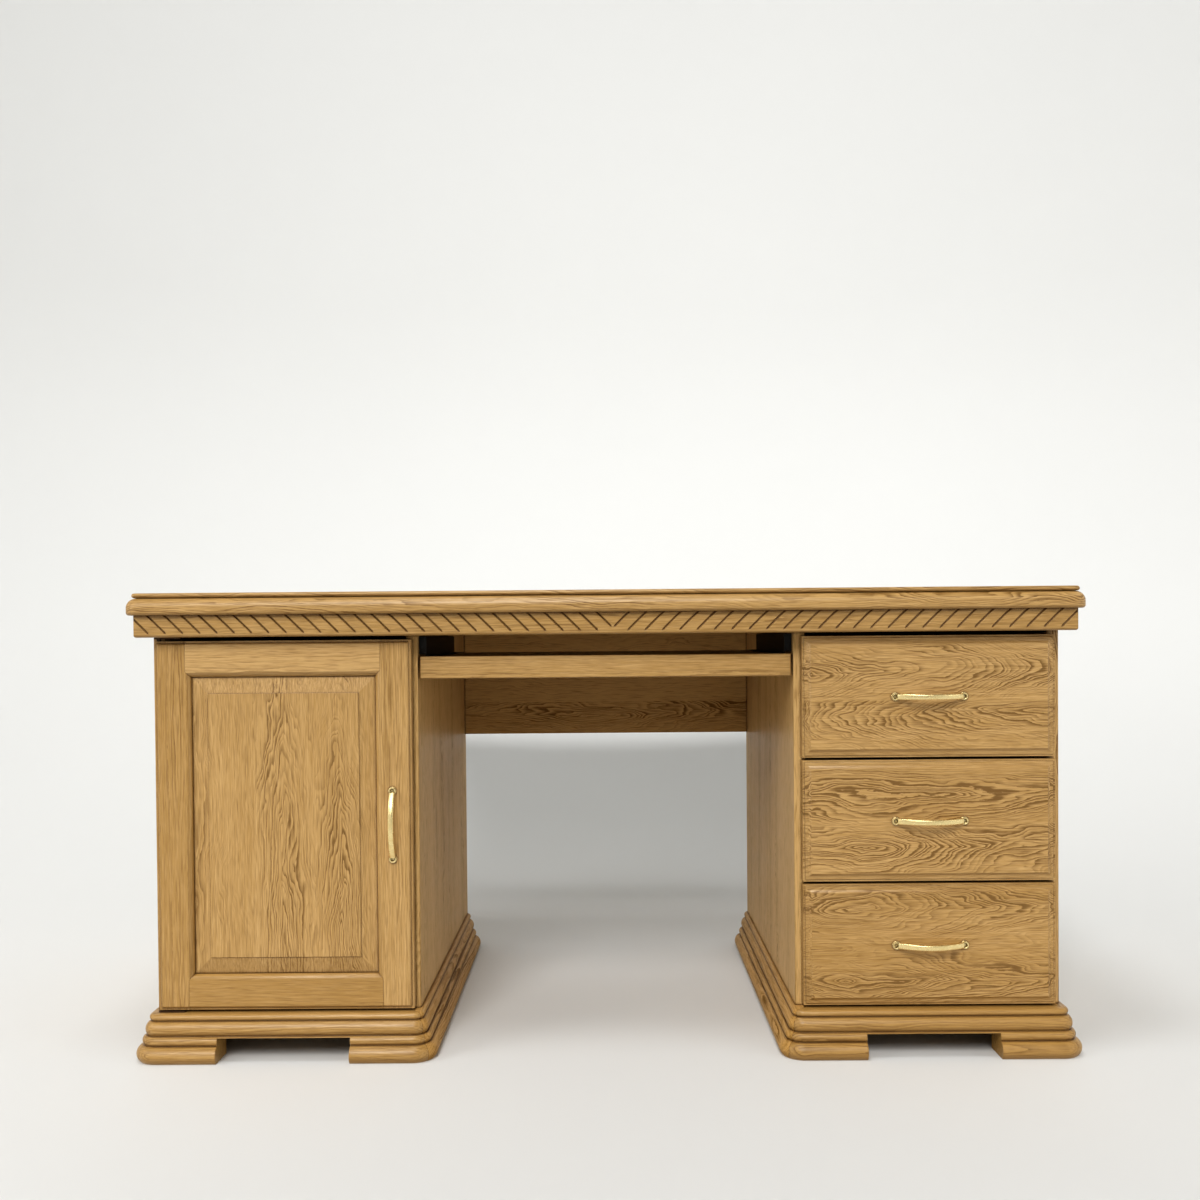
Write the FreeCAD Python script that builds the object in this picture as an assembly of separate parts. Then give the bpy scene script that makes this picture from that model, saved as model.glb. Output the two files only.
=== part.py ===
import FreeCAD, Part
import math
import os

V = FreeCAD.Vector

# Driving dimensions, in millimetres and degrees. X runs to the right, Y to the back, Z up.
# The origin is on the floor, under the middle of the desktop.

# Desktop
DESK_WIDTH = 1600.0
DESK_DEPTH = 780.0
DESK_HEIGHT = 788.0
TOP_THICKNESS = 37.0
TOP_OVERHANG_SIDE = 30.5
TOP_OVERHANG_FRONT = 58.0
TOP_OVERHANG_BACK = 31.0
TOP_BEAD_HEIGHT = 8.0
TOP_BEAD_SETBACK = 9.0
TOP_QUIRK_HEIGHT = 3.0
TOP_OVOLO_WIDTH = 16.0
TOP_OVOLO_HEIGHT = 14.0
TOP_LOWER_RADIUS = 5.0
TOP_NECK_RADIUS = 6.0

# Each round of a long moulding is run in flat facets that turn by this many degrees
MOULDING_FACET = 30.0

# Carved frieze under the desktop, and the rail behind it
FRIEZE_HEIGHT = 37.0
FRIEZE_SIDE_THICKNESS = 16.0
FRIEZE_FRONT_THICKNESS = 22.0
FRIEZE_EDGE_RADIUS = 4.0
FRONT_RAIL_THICKNESS = 24.0
CARVING_PITCH = 28.8
CARVING_WIDTH = 3.8
CARVING_DEPTH = 2.4
CARVING_LEAN = 45.0
CARVING_MARGIN = 3.5
CARVING_TAPER = 6.0
CARVING_V_OFFSET = 13.0
CARVING_V_HEIGHT = 10.0

# Pedestals
PEDESTAL_WIDTH = 450.0
BOARD_THICKNESS = 20.0
BACK_THICKNESS = 10.0
REBATE_DEPTH = 8.0
EDGE_RADIUS = 2.0
MODESTY_HEIGHT = 262.0
MODESTY_THICKNESS = 18.0

# Plinths: each round is widest at the bulge level, a share of that round's own height
PLINTH_HEIGHT = 78.0
PLINTH_FORWARD = 26.0
PLINTH_CAP_HEIGHT = 11.0
PLINTH_CAP_REACH = 8.0
PLINTH_CAP_EASE = 5.0
PLINTH_TORUS_HEIGHT = 24.0
PLINTH_TORUS_REACH = 15.0
PLINTH_BEAD_HEIGHT = 15.0
PLINTH_BEAD_REACH = 20.0
PLINTH_FOOT_REACH = 30.0
PLINTH_FOOT_TUCK = 6.0
PLINTH_QUIRK = 2.0
PLINTH_BULGE_LEVEL = 0.42
PLINTH_CORNER_RADIUS = 10.0
PLINTH_CORE_RADIUS = 2.5
PLINTH_WALL = 32.0
FOOT_GAP_WIDTH = 223.0
FOOT_GAP_HEIGHT = 41.0

# Door and drawer fronts
FRONT_THICKNESS = 20.0
FRONT_TOP_GAP = 6.5
FRONT_BOTTOM_GAP = 4.0
DOOR_REVEAL = 8.5
DRAWER_REVEAL = 12.0
FRAME_WIDTH = 61.0
STICKING_WIDTH = 9.0
STICKING_DEPTH = 8.0
DOOR_RIM_WIDTH = 4.0
DOOR_RIM_DEPTH = 4.0
DOOR_RIM_ROUND = 3.5
TENON_LENGTH = 30.0
TENON_THICKNESS = 7.0
TENON_SHOULDER = 8.0
PANEL_GROOVE_DEPTH = 9.0
PANEL_TONGUE = 6.0
PANEL_BEVEL = 28.0
PANEL_STEP = 1.5
PANEL_SETBACK = 2.0

# Door pivots, catch and shelf
PIVOT_INSET = 5.5
PIVOT_PIN_RADIUS = 2.5
PIVOT_PIN_REACH = 8.0
PIVOT_PLATE_LENGTH = 46.0
PIVOT_PLATE_WIDTH = 15.0
PIVOT_PLATE_THICKNESS = 2.5
PIVOT_PLATE_CORNER = 5.0
PIVOT_COLLAR_RADIUS = 4.0
CATCH_LENGTH = 46.0
CATCH_WIDTH = 15.0
CATCH_DEPTH = 14.0
CATCH_DROP = 60.0
STRIKE_LENGTH = 40.0
STRIKE_WIDTH = 13.0
STRIKE_THICKNESS = 1.2
SHELF_THICKNESS = 18.0
SHELF_SETBACK = 24.0
SHELF_LEVEL = 400.0
SHELF_PIN_RADIUS = 3.0
SHELF_PIN_REACH = 8.0
SHELF_PIN_DEPTH = 8.0
SHELF_PIN_INSET = 60.0

# Drawers, named from the lowest up; the hollow of the edge cove is placed by two shares of it
DRAWERS = ("bottom", "middle", "top")
DRAWER_GAP = 4.0
DRAWER_EDGE_WIDTH = 14.0
DRAWER_EDGE_DEPTH = 6.0
DRAWER_RIM_WIDTH = 3.5
DRAWER_RIM_STEP = 1.2
DRAWER_COVE_ALONG = 0.62
DRAWER_COVE_DOWN = 0.66
DRAWER_BOX_LENGTH = 550.0
DRAWER_BOX_HEIGHT = 160.0
DRAWER_BOX_LIFT = 22.0
DRAWER_SIDE_GAP = 5.0
DRAWER_SIDE_THICKNESS = 15.0
DRAWER_BOTTOM_THICKNESS = 6.0
DRAWER_BOTTOM_LIFT = 10.0
DRAWER_GROOVE_DEPTH = 6.0
DRAWER_HOUSING_DEPTH = 8.0
RUNNER_HEIGHT = 20.0
RUNNER_GROOVE_DEPTH = 8.0
RUNNER_LIFT = 70.0
RUNNER_LENGTH = 540.0

# Bow handles
HANDLE_CENTRES = 115.0
HANDLE_PROJECTION = 25.0
HANDLE_FOOT_RADIUS = 6.2
HANDLE_FOOT_HEIGHT = 5.0
HANDLE_FOOT_TAPER = 1.0
HANDLE_COLLAR_HEIGHT = 1.6
HANDLE_END_WIDTH = 9.0
HANDLE_WAIST_WIDTH = 7.2
HANDLE_THICKNESS = 5.0
HANDLE_SPANS = 12
HANDLE_FACETS = 10
HANDLE_FOOT_FACETS = 18
HANDLE_EYE_RADIUS = 2.2
HANDLE_EYE_DEPTH = 2.0
DOOR_HANDLE_INSET = 33.0

# Keyboard tray
TRAY_SIDE_GAP = 4.0
TRAY_FRONT_HEIGHT = 38.0
TRAY_FRONT_THICKNESS = 18.0
TRAY_BOARD_THICKNESS = 20.0
TRAY_DEPTH = 416.0
SLIDE_LENGTH = 380.0
SLIDE_HEIGHT = 30.0
SLIDE_REACH = 11.0
SLIDE_SHEET = 1.4
SLIDE_HEADROOM = 2.0
SLIDE_TRAY_GAP = 4.0
HANGER_FOOT = 22.0

# Clearances: of moving faces, of pins in their holes, of glued and loose joints, of the swinging door
RUNNING_PLAY = 0.3
PIN_PLAY = 0.05
JOINT_PLAY = 0.1
LOOSE_PLAY = 1.0
SWING_PLAY = 0.6

# How far cutting blocks run past a face, and how near two places count as one
CUT_MARGIN = 1.0
NEAR = 0.01

# Places worked out from the driving dimensions
half_width = DESK_WIDTH / 2 - TOP_OVERHANG_SIDE
half_knee = half_width - PEDESTAL_WIDTH
y_front = -DESK_DEPTH / 2 + TOP_OVERHANG_FRONT
y_back = DESK_DEPTH / 2 - TOP_OVERHANG_BACK
y_inside_back = y_back - BACK_THICKNESS
z_top = DESK_HEIGHT - TOP_THICKNESS
z_frieze = z_top - FRIEZE_HEIGHT
z_plinth = PLINTH_HEIGHT
z_floor_board = z_plinth + BOARD_THICKNESS

# The door's back corner swings past the carcass, which sets the gap behind all the fronts
swing_gap = math.hypot(PIVOT_INSET, FRONT_THICKNESS / 2) - FRONT_THICKNESS / 2 + SWING_PLAY
y_front_back = y_front - swing_gap
y_front_face = y_front_back - FRONT_THICKNESS
z_fronts_low = z_plinth + FRONT_BOTTOM_GAP
z_fronts_high = z_frieze - FRONT_TOP_GAP

door_left = -half_width + DOOR_REVEAL
door_right = -half_knee - DOOR_REVEAL
cabinet_left = -half_width + BOARD_THICKNESS
cabinet_right = -half_knee - BOARD_THICKNESS
pivot_x = door_left + PIVOT_INSET
pivot_y = y_front_back - FRONT_THICKNESS / 2
z_catch = z_fronts_high - CATCH_DROP

drawer_x0 = half_knee + DRAWER_REVEAL
drawer_x1 = half_width - DRAWER_REVEAL
drawer_height = (z_fronts_high - z_fronts_low + DRAWER_GAP) / len(DRAWERS) - DRAWER_GAP
box_x0 = half_knee + BOARD_THICKNESS + DRAWER_SIDE_GAP
box_x1 = half_width - BOARD_THICKNESS - DRAWER_SIDE_GAP
y_box_back = y_front_back + DRAWER_BOX_LENGTH

tray_half = half_knee - TRAY_SIDE_GAP
z_slide_high = z_frieze - SLIDE_HEADROOM
z_slide_low = z_slide_high - SLIDE_HEIGHT
z_tray = z_slide_low - SLIDE_TRAY_GAP
y_tray = y_front + TRAY_FRONT_THICKNESS


def box(x0, x1, y0, y1, z0, z1):
    """Upright block between two corners."""
    return Part.makeBox(x1 - x0, y1 - y0, z1 - z0, V(x0, y0, z0))


def outline(place, start, *steps):
    """Closed face: straight steps are points, arc steps are (point on the arc, end point)."""
    edges = []
    here = place(*start)
    for step in steps + (start,):
        if isinstance(step[0], tuple):
            middle, end = (place(*point) for point in step)
            edges.append(Part.Arc(here, middle, end).toShape())
        else:
            end = place(*step)
            if end.distanceToPoint(here) > NEAR:
                edges.append(Part.LineSegment(here, end).toShape())
        here = end
    return Part.Face(Part.Wire(edges))


def faceted(section):
    """The same section with every arc step turned into flat facets."""
    points = [section[0]]
    for step in section[1:]:
        if isinstance(step[0], tuple):
            arc = Part.Arc(*(V(u, v, 0) for u, v in (points[-1],) + step))
            turn = math.degrees(arc.LastParameter - arc.FirstParameter)
            facets = math.ceil(turn / MOULDING_FACET)
            points += [(spot.x, spot.y) for spot in arc.discretize(facets + 1)[1:]]
        else:
            points.append(step)
    return points


def plan_prism(points, z0, z1):
    """Straight-sided block standing on a plan outline."""
    return outline(lambda x, y: V(x, y, z0), *points).extrude(V(0, 0, z1 - z0))


def elevation_prism(points, y0, y1):
    """Straight-sided block with its outline in the front view."""
    return outline(lambda x, z: V(x, y0, z), *points).extrude(V(0, y1 - y0, 0))


def mirrored(shape):
    """The same piece on the other side of the desk."""
    return shape.mirror(V(0, 0, 0), V(1, 0, 0))


def round_edges(shape, radius, chosen):
    """Round the straight edges whose middle point passes the test."""
    edges = [edge for edge in shape.Edges if chosen(edge.CenterOfMass)]
    return shape.makeFillet(radius, edges)


def moulded_ring(section, x0, x1, y0, y1, radius):
    """Moulding run round a rectangle with round corners.

    The section lists (reach, height) steps, with the reach counted outward from the rectangle.
    """
    sides = (
        (V(x0 + radius, y0, 0), V(1, 0, 0), x1 - x0),
        (V(x1, y0 + radius, 0), V(0, 1, 0), y1 - y0),
        (V(x1 - radius, y1, 0), V(-1, 0, 0), x1 - x0),
        (V(x0, y1 - radius, 0), V(0, -1, 0), y1 - y0),
    )
    points = faceted(section)
    lengths = []
    for start, along, full in sides:
        out = along.cross(V(0, 0, 1))
        face = outline(lambda u, z: start + out * u + V(0, 0, z), *points)
        run = along * (full - 2 * radius)
        lengths.append(face.extrude(run))
        face.translate(run)
        lengths.append(face.revolve(start + run - out * radius, V(0, 0, 1), 90))
    return lengths[0].fuse(lengths[1:]).removeSplitter()


def moulded_board(section, x0, x1, z0, z1):
    """Board whose four edges carry one section: section(low, high) lists (place, depth) steps."""
    across = outline(lambda x, y: V(x, y, z0), *section(x0, x1)).extrude(V(0, 0, z1 - z0))
    upward = outline(lambda z, y: V(x0, y, z), *section(z0, z1)).extrude(V(x1 - x0, 0, 0))
    return across.common(upward)


def desktop():
    """Glued-up top; its edge has a thin bead, a quirk and a broad ovolo below."""
    front = -DESK_DEPTH / 2
    half = DESK_WIDTH / 2
    wide, lower, bead = TOP_OVOLO_WIDTH, TOP_LOWER_RADIUS, TOP_BEAD_HEIGHT / 2
    core = wide + TOP_NECK_RADIUS / 2
    quirk_top = DESK_HEIGHT - TOP_BEAD_HEIGHT
    quirk_low = quirk_top - TOP_QUIRK_HEIGHT
    ovolo_low = quirk_low - TOP_OVOLO_HEIGHT
    bend = math.sqrt(0.5)
    section = (
        (-core, z_top),
        (-lower, z_top),
        ((lower * (bend - 1), z_top + lower * (1 - bend)), (0, z_top + lower)),
        (0, ovolo_low),
        ((wide * (bend - 1), ovolo_low + TOP_OVOLO_HEIGHT * bend), (-wide, quirk_low)),
        (-wide, quirk_top),
        (-TOP_BEAD_SETBACK - bead, quirk_top),
        ((-TOP_BEAD_SETBACK, quirk_top + bead), (-TOP_BEAD_SETBACK - bead, DESK_HEIGHT)),
        (-core, DESK_HEIGHT),
    )
    ring = moulded_ring(section, -half, half, front, -front, wide + TOP_NECK_RADIUS)
    lap = core - TOP_NECK_RADIUS / 4
    slab = box(-half + lap, half - lap, front + lap, -front - lap, z_top, DESK_HEIGHT)
    return ring.fuse(slab).removeSplitter()


def frieze_plane(out):
    """Distance from the desk's middle to the frieze's outer face on one side."""
    if abs(out.x) > abs(out.y):
        return half_width + FRIEZE_SIDE_THICKNESS
    return -y_front + FRONT_RAIL_THICKNESS + FRIEZE_FRONT_THICKNESS


def carving_cut(origin, along, out, lean_sign, reach):
    """One V-shaped chisel cut: leans sideways as it climbs and runs out to a point below."""
    lean = math.radians(CARVING_LEAN)
    climb = along * (lean_sign * math.sin(lean)) + V(0, 0, math.cos(lean))
    side = out.cross(climb) * (CARVING_WIDTH / 2)
    proud = out * (CARVING_DEPTH / 2)
    flare = 1 + proud.Length / CARVING_DEPTH

    def section(distance):
        centre = origin + climb * distance
        corners = [centre + proud + side * flare, centre + proud - side * flare, centre - out * CARVING_DEPTH]
        return Part.makePolygon(corners + corners[:1])

    tip = Part.Vertex(origin + proud)
    return Part.makeLoft([tip, section(CARVING_TAPER), section(reach)], True, True)


def carve(piece, ends, along, out, lean_signs, centre):
    """Cut rows of leaning grooves outward from centre; a lean sign of 0 leaves that way plain."""
    low, high = ends
    slope = math.tan(math.radians(CARVING_LEAN))
    reach = FRIEZE_HEIGHT / math.cos(math.radians(CARVING_LEAN))
    face = out * frieze_plane(out)
    cuts = []
    for way, lean in zip((-1, 1), lean_signs):
        place = centre if lean else high
        lift = CARVING_V_HEIGHT
        number = 0
        while low < place < high:
            foot = place - lean * slope * (CARVING_V_HEIGHT - lift)
            spot = along * foot + V(0, 0, z_frieze + lift)
            cuts.append(carving_cut(spot + face, along, out, lean, reach))
            lift = CARVING_MARGIN
            number += 1
            place = centre + way * number * CARVING_PITCH
    return piece.cut(cuts)


def frieze_length(plan, outer_edge):
    """One length of frieze on its mitred plan, with the lower outer edge rounded."""
    piece = plan_prism(plan, z_frieze, z_top)
    return round_edges(piece, FRIEZE_EDGE_RADIUS, lambda c: abs(c.z - z_frieze) < NEAR and outer_edge(c))


def friezes():
    """Carved front and sides, plain back, mitred at the corners."""
    outer_x = half_width + FRIEZE_SIDE_THICKNESS
    outer_front = -frieze_plane(V(0, -1, 0))
    inner_front = outer_front + FRIEZE_FRONT_THICKNESS
    outer_back = y_back + FRIEZE_SIDE_THICKNESS
    front_right, back_right = (outer_x, outer_front), (outer_x, outer_back)
    front_left, back_left = (-outer_x, outer_front), (-outer_x, outer_back)
    front = frieze_length((front_left, front_right, (half_width, inner_front), (-half_width, inner_front)),
                          lambda c: c.y < outer_front + NEAR)
    right = frieze_length((front_right, back_right, (half_width, y_back), (half_width, inner_front)),
                          lambda c: c.x > outer_x - NEAR)
    back = frieze_length((back_right, back_left, (-half_width, y_back), (half_width, y_back)),
                         lambda c: c.y > outer_back - NEAR)
    front = carve(front, (-outer_x, outer_x), V(1, 0, 0), V(0, -1, 0), (-1, 1), CARVING_V_OFFSET)
    first = outer_front + CARVING_PITCH / 2
    right = carve(right, (outer_front, outer_back), V(0, 1, 0), V(1, 0, 0), (0, 1), first)
    return {
        "frieze_front": front,
        "frieze_right": right,
        "frieze_left": mirrored(right),
        "frieze_back": back,
    }


def front_rail():
    """Plain rail behind the carved frieze, across both pedestals."""
    return box(-half_width, half_width, y_front - FRONT_RAIL_THICKNESS, y_front, z_frieze, z_top)


def modesty_panel():
    """Panel closing the top of the knee hole at the back."""
    z0 = z_top - MODESTY_HEIGHT
    panel = box(-half_knee, half_knee, y_back - MODESTY_THICKNESS, y_back, z0, z_top)
    return round_edges(panel, EDGE_RADIUS, lambda c: abs(c.z - z0) < NEAR and abs(c.x) < NEAR)


def pedestal_side(x_inner, x_outer):
    """Side board, rebated on its cabinet face for the top, bottom and back boards."""
    low, high = sorted((x_inner, x_outer))
    z_middle = (z_plinth + z_top) / 2
    board = box(low, high, y_front, y_back, z_plinth, z_top)
    board = round_edges(board, EDGE_RADIUS,
                        lambda c: abs(c.y - y_front) < NEAR and abs(c.z - z_middle) < NEAR)
    reach = x_inner + math.copysign(REBATE_DEPTH, x_outer - x_inner)
    cut_low, cut_high = sorted((x_inner, reach))
    rebates = [
        box(cut_low, cut_high, y_front, y_back, z_plinth, z_floor_board),
        box(cut_low, cut_high, y_front, y_back, z_top - BOARD_THICKNESS, z_top),
        box(cut_low, cut_high, y_inside_back, y_back, z_plinth, z_top),
    ]
    return board.cut(rebates)


def right_pedestal():
    """Five boards of the right-hand carcass, named for their place in it."""
    x0 = half_knee + BOARD_THICKNESS
    x1 = half_width - BOARD_THICKNESS
    seat0, seat1 = x0 - REBATE_DEPTH, x1 + REBATE_DEPTH
    return {
        "outer_side": pedestal_side(x1, half_width),
        "inner_side": pedestal_side(x0, half_knee),
        "bottom": box(seat0, seat1, y_front, y_inside_back, z_plinth, z_floor_board),
        "top": box(seat0, seat1, y_front, y_inside_back, z_top - BOARD_THICKNESS, z_top),
        "back": box(seat0, seat1, y_inside_back, y_back, z_plinth, z_top),
    }


def plinth_section(core):
    """Section of the stepped plinth: foot, bead, torus and cap, each bulging outward."""
    z_cap = z_plinth - PLINTH_CAP_HEIGHT
    z_torus = z_cap - PLINTH_TORUS_HEIGHT
    z_bead = z_torus - PLINTH_BEAD_HEIGHT
    rounds = (
        (PLINTH_FOOT_REACH, 0, z_bead, PLINTH_BEAD_REACH - PLINTH_QUIRK),
        (PLINTH_BEAD_REACH, z_bead, z_torus, PLINTH_TORUS_REACH - PLINTH_QUIRK),
        (PLINTH_TORUS_REACH, z_torus, z_cap, PLINTH_CAP_REACH - PLINTH_QUIRK),
        (PLINTH_CAP_REACH, z_cap, z_plinth, PLINTH_CAP_REACH - PLINTH_CAP_EASE),
    )
    steps = [(-core, 0), (PLINTH_FOOT_REACH - PLINTH_FOOT_TUCK, 0)]
    for reach, low, high, end in rounds:
        steps.append(((reach, low + (high - low) * PLINTH_BULGE_LEVEL), (end, high)))
    return steps + [(-core, z_plinth)]


def right_plinth():
    """Four mitred lengths under the right-hand pedestal, with a gap between the front feet."""
    x0, x1 = half_knee, half_width
    y0, y1 = y_front - PLINTH_FORWARD, y_back
    core = PLINTH_CORNER_RADIUS - PLINTH_CORE_RADIUS
    ring = moulded_ring(plinth_section(core), x0, x1, y0, y1, PLINTH_CORNER_RADIUS)
    lap = core - PLINTH_CORE_RADIUS / 4
    wall = PLINTH_WALL
    frame = box(x0 + lap, x1 - lap, y0 + lap, y1 - lap, 0, z_plinth)
    frame = frame.cut(box(x0 + wall, x1 - wall, y0 + wall, y1 - wall, 0, z_plinth))
    ring = ring.fuse(frame).removeSplitter()
    beyond = PLINTH_FOOT_REACH + wall
    within = wall + PLINTH_FOOT_REACH
    corners = ((x0, y0, 1, 1), (x1, y0, -1, 1), (x1, y1, -1, -1), (x0, y1, 1, -1))
    lengths = {}
    for number, name in enumerate(("front", "outer", "back", "inner")):
        xa, ya, ia, ja = corners[number]
        xb, yb, ib, jb = corners[(number + 1) % len(corners)]
        plan = ((xa - ia * beyond, ya - ja * beyond), (xb - ib * beyond, yb - jb * beyond),
                (xb + ib * within, yb + jb * within), (xa + ia * within, ya + ja * within))
        lengths[name] = ring.common(plan_prism(plan, -CUT_MARGIN, z_plinth + CUT_MARGIN))
    middle = (x0 + x1) / 2
    half_gap = FOOT_GAP_WIDTH / 2
    gap = box(middle - half_gap, middle + half_gap, y0 - beyond, y0 + within, 0, FOOT_GAP_HEIGHT)
    lengths["front"] = lengths["front"].cut(gap)
    return lengths


def door_edge(low, high):
    """Door board section between two edges: a low rim, a small round, then the flat face."""
    rim, deep, curve = DOOR_RIM_WIDTH, DOOR_RIM_DEPTH, DOOR_RIM_ROUND
    face, back = y_front_face, y_front_back
    bend = curve * (1 - math.sqrt(0.5))
    return (
        (low, back), (low, face + deep), (low + rim, face + deep), (low + rim, face + curve),
        ((low + rim + bend, face + bend), (low + rim + curve, face)),
        (high - rim - curve, face),
        ((high - rim - bend, face + bend), (high - rim, face + curve)),
        (high - rim, face + deep), (high, face + deep), (high, back),
    )


def sticking(low, high):
    """Section of the panel opening: a quarter round leads from the face down to the opening."""
    wide, deep = STICKING_WIDTH, STICKING_DEPTH
    face, behind = y_front_face, y_front_back + CUT_MARGIN
    ahead = face - CUT_MARGIN
    bend = 1 - math.sqrt(0.5)
    return (
        (low, behind), (low, face + deep),
        ((low - wide * bend, face + deep * bend), (low - wide, face)),
        (low - wide, ahead), (high + wide, ahead), (high + wide, face),
        ((high + wide * bend, face + deep * bend), (high, face + deep)),
        (high, behind),
    )


def raised_panel(low, high):
    """Panel section: a tongue in the groove, a long bevel, a small step and the raised field."""
    tongue_front = y_front_face + STICKING_DEPTH + JOINT_PLAY
    tongue_back = tongue_front + PANEL_TONGUE
    field = y_front_face + PANEL_SETBACK
    sink = PANEL_GROOVE_DEPTH - LOOSE_PLAY
    bevel = PANEL_BEVEL
    return (
        (low - sink, tongue_back), (low - sink, tongue_front), (low, tongue_front),
        (low + bevel, field + PANEL_STEP), (low + bevel, field),
        (high - bevel, field), (high - bevel, field + PANEL_STEP),
        (high, tongue_front), (high + sink, tongue_front), (high + sink, tongue_back),
    )


def door_frame(x0, x1, z0, z1, groove_front, groove_back):
    """The frame in one piece: edge moulding outside, sticking and panel groove inside."""
    wide, sunk = STICKING_WIDTH, PANEL_GROOVE_DEPTH
    across = outline(lambda x, y: V(x, y, z0 - wide), *sticking(x0, x1))
    across = across.extrude(V(0, 0, z1 - z0 + 2 * wide))
    upward = outline(lambda z, y: V(x0 - wide, y, z), *sticking(z0, z1))
    upward = upward.extrude(V(x1 - x0 + 2 * wide, 0, 0))
    groove = box(x0 - sunk, x1 + sunk, groove_front, groove_back, z0 - sunk, z1 + sunk)
    board = moulded_board(door_edge, door_left, door_right, z_fronts_low, z_fronts_high)
    return board.cut([across.common(upward), groove])


def stile_plans():
    """Front outlines of both stiles, mitred where the sticking turns the corner."""
    flat, beyond = FRAME_WIDTH - STICKING_WIDTH, FRAME_WIDTH + STICKING_WIDTH
    x0, z0, z1 = door_left, z_fronts_low, z_fronts_high
    left = (
        (x0, z0), (x0 + flat, z0), (x0 + flat, z0 + flat), (x0 + beyond, z0 + beyond),
        (x0 + beyond, z1 - beyond), (x0 + flat, z1 - flat), (x0 + flat, z1), (x0, z1),
    )
    return left, tuple((door_left + door_right - x, z) for x, z in left)


def tenon_joints(stiles, rails, middle):
    """Stiles with mortises and rails with tenons, all centred on the panel groove."""
    flat = FRAME_WIDTH - STICKING_WIDTH
    half, play = TENON_THICKNESS / 2, JOINT_PLAY
    for rail, rail_low in enumerate((z_fronts_low, z_fronts_high - flat)):
        low, high = rail_low + TENON_SHOULDER, rail_low + flat - TENON_SHOULDER
        for side, (edge, way) in enumerate(((door_left + flat, -1), (door_right - flat, 1))):
            ends = sorted((edge - way * PANEL_GROOVE_DEPTH, edge + way * TENON_LENGTH))
            tenon = box(*ends, middle - half, middle + half, low, high)
            ends = sorted((edge, edge + way * (TENON_LENGTH + LOOSE_PLAY)))
            mortise = box(*ends, middle - half - play, middle + half + play, low - play, high + play)
            rails[rail] = rails[rail].fuse(tenon).removeSplitter()
            stiles[side] = stiles[side].cut(mortise)
    return stiles, rails


def door():
    """Frame-and-panel door: full-height stiles, tenoned rails, mitred sticking, raised panel."""
    x0, x1 = door_left + FRAME_WIDTH, door_right - FRAME_WIDTH
    z0, z1 = z_fronts_low + FRAME_WIDTH, z_fronts_high - FRAME_WIDTH
    groove_front = y_front_face + STICKING_DEPTH
    groove_back = groove_front + PANEL_TONGUE + 2 * JOINT_PLAY
    frame = door_frame(x0, x1, z0, z1, groove_front, groove_back)
    cutters = [elevation_prism(plan, y_front_face - CUT_MARGIN, y_front) for plan in stile_plans()]
    stiles = [frame.common(cutter) for cutter in cutters]
    rails = sorted(frame.cut(cutters).Solids, key=lambda solid: solid.CenterOfMass.z)
    stiles, rails = tenon_joints(stiles, rails, (groove_front + groove_back) / 2)
    for z, way in ((z_fronts_low, 1), (z_fronts_high, -1)):
        bore = Part.makeCylinder(PIVOT_PIN_RADIUS + PIN_PLAY, PIVOT_PIN_REACH + LOOSE_PLAY,
                                 V(pivot_x, pivot_y, z), V(0, 0, way))
        stiles[0] = stiles[0].cut(bore)
    strike_x = cabinet_right - CATCH_WIDTH / 2
    half_width_strike, half_length = STRIKE_WIDTH / 2, STRIKE_LENGTH / 2
    strike = box(strike_x - half_width_strike, strike_x + half_width_strike,
                 y_front_back, y_front_back + STRIKE_THICKNESS, z_catch - half_length, z_catch + half_length)
    handle = bow_handle().rotated(V(0, 0, 0), V(0, 1, 0), 90)
    handle.translate(V(door_right - DOOR_HANDLE_INSET, y_front_face, (z0 + z1) / 2))
    return {
        "door_hinge_stile": stiles[0],
        "door_handle_stile": stiles[1],
        "door_bottom_rail": rails[0],
        "door_top_rail": rails[1],
        "door_panel": moulded_board(raised_panel, x0, x1, z0, z1),
        "door_catch_plate": strike,
        "door_handle": handle,
    }


def door_pivots():
    """Plates under the front rail and on the plinth, with the pins that carry the door."""
    half = PIVOT_PLATE_WIDTH / 2
    x0 = pivot_x - half
    plates = []
    for seat, edge, up in ((z_plinth, z_fronts_low, 1), (z_frieze, z_fronts_high, -1)):
        low, high = sorted((seat, seat + up * PIVOT_PLATE_THICKNESS))
        middle = (low + high) / 2
        plate = box(x0, x0 + PIVOT_PLATE_LENGTH, pivot_y - half, pivot_y + half, low, high)
        plate = round_edges(plate, PIVOT_PLATE_CORNER, lambda c: abs(c.z - middle) < NEAR)
        gap = abs(edge - seat)
        foot, rise = V(pivot_x, pivot_y, seat), V(0, 0, up)
        pin = Part.makeCylinder(PIVOT_PIN_RADIUS, gap + PIVOT_PIN_REACH, foot, rise)
        collar = Part.makeCylinder(PIVOT_COLLAR_RADIUS, gap - RUNNING_PLAY, foot, rise)
        plates.append(plate.fuse([pin, collar]).removeSplitter())
    return Part.makeCompound(plates)


def door_catch():
    """Magnetic catch on the cabinet's inner side, just behind the door's plate."""
    x0, x1 = cabinet_right - CATCH_WIDTH, cabinet_right
    y0 = y_front_back + STRIKE_THICKNESS + RUNNING_PLAY
    half = CATCH_LENGTH / 2
    block = box(x0, x1, y0, y0 + CATCH_DEPTH, z_catch - half, z_catch + half)
    return round_edges(block, EDGE_RADIUS, lambda c: abs(c.x - x0) < NEAR and abs(c.z - z_catch) < NEAR)


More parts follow.
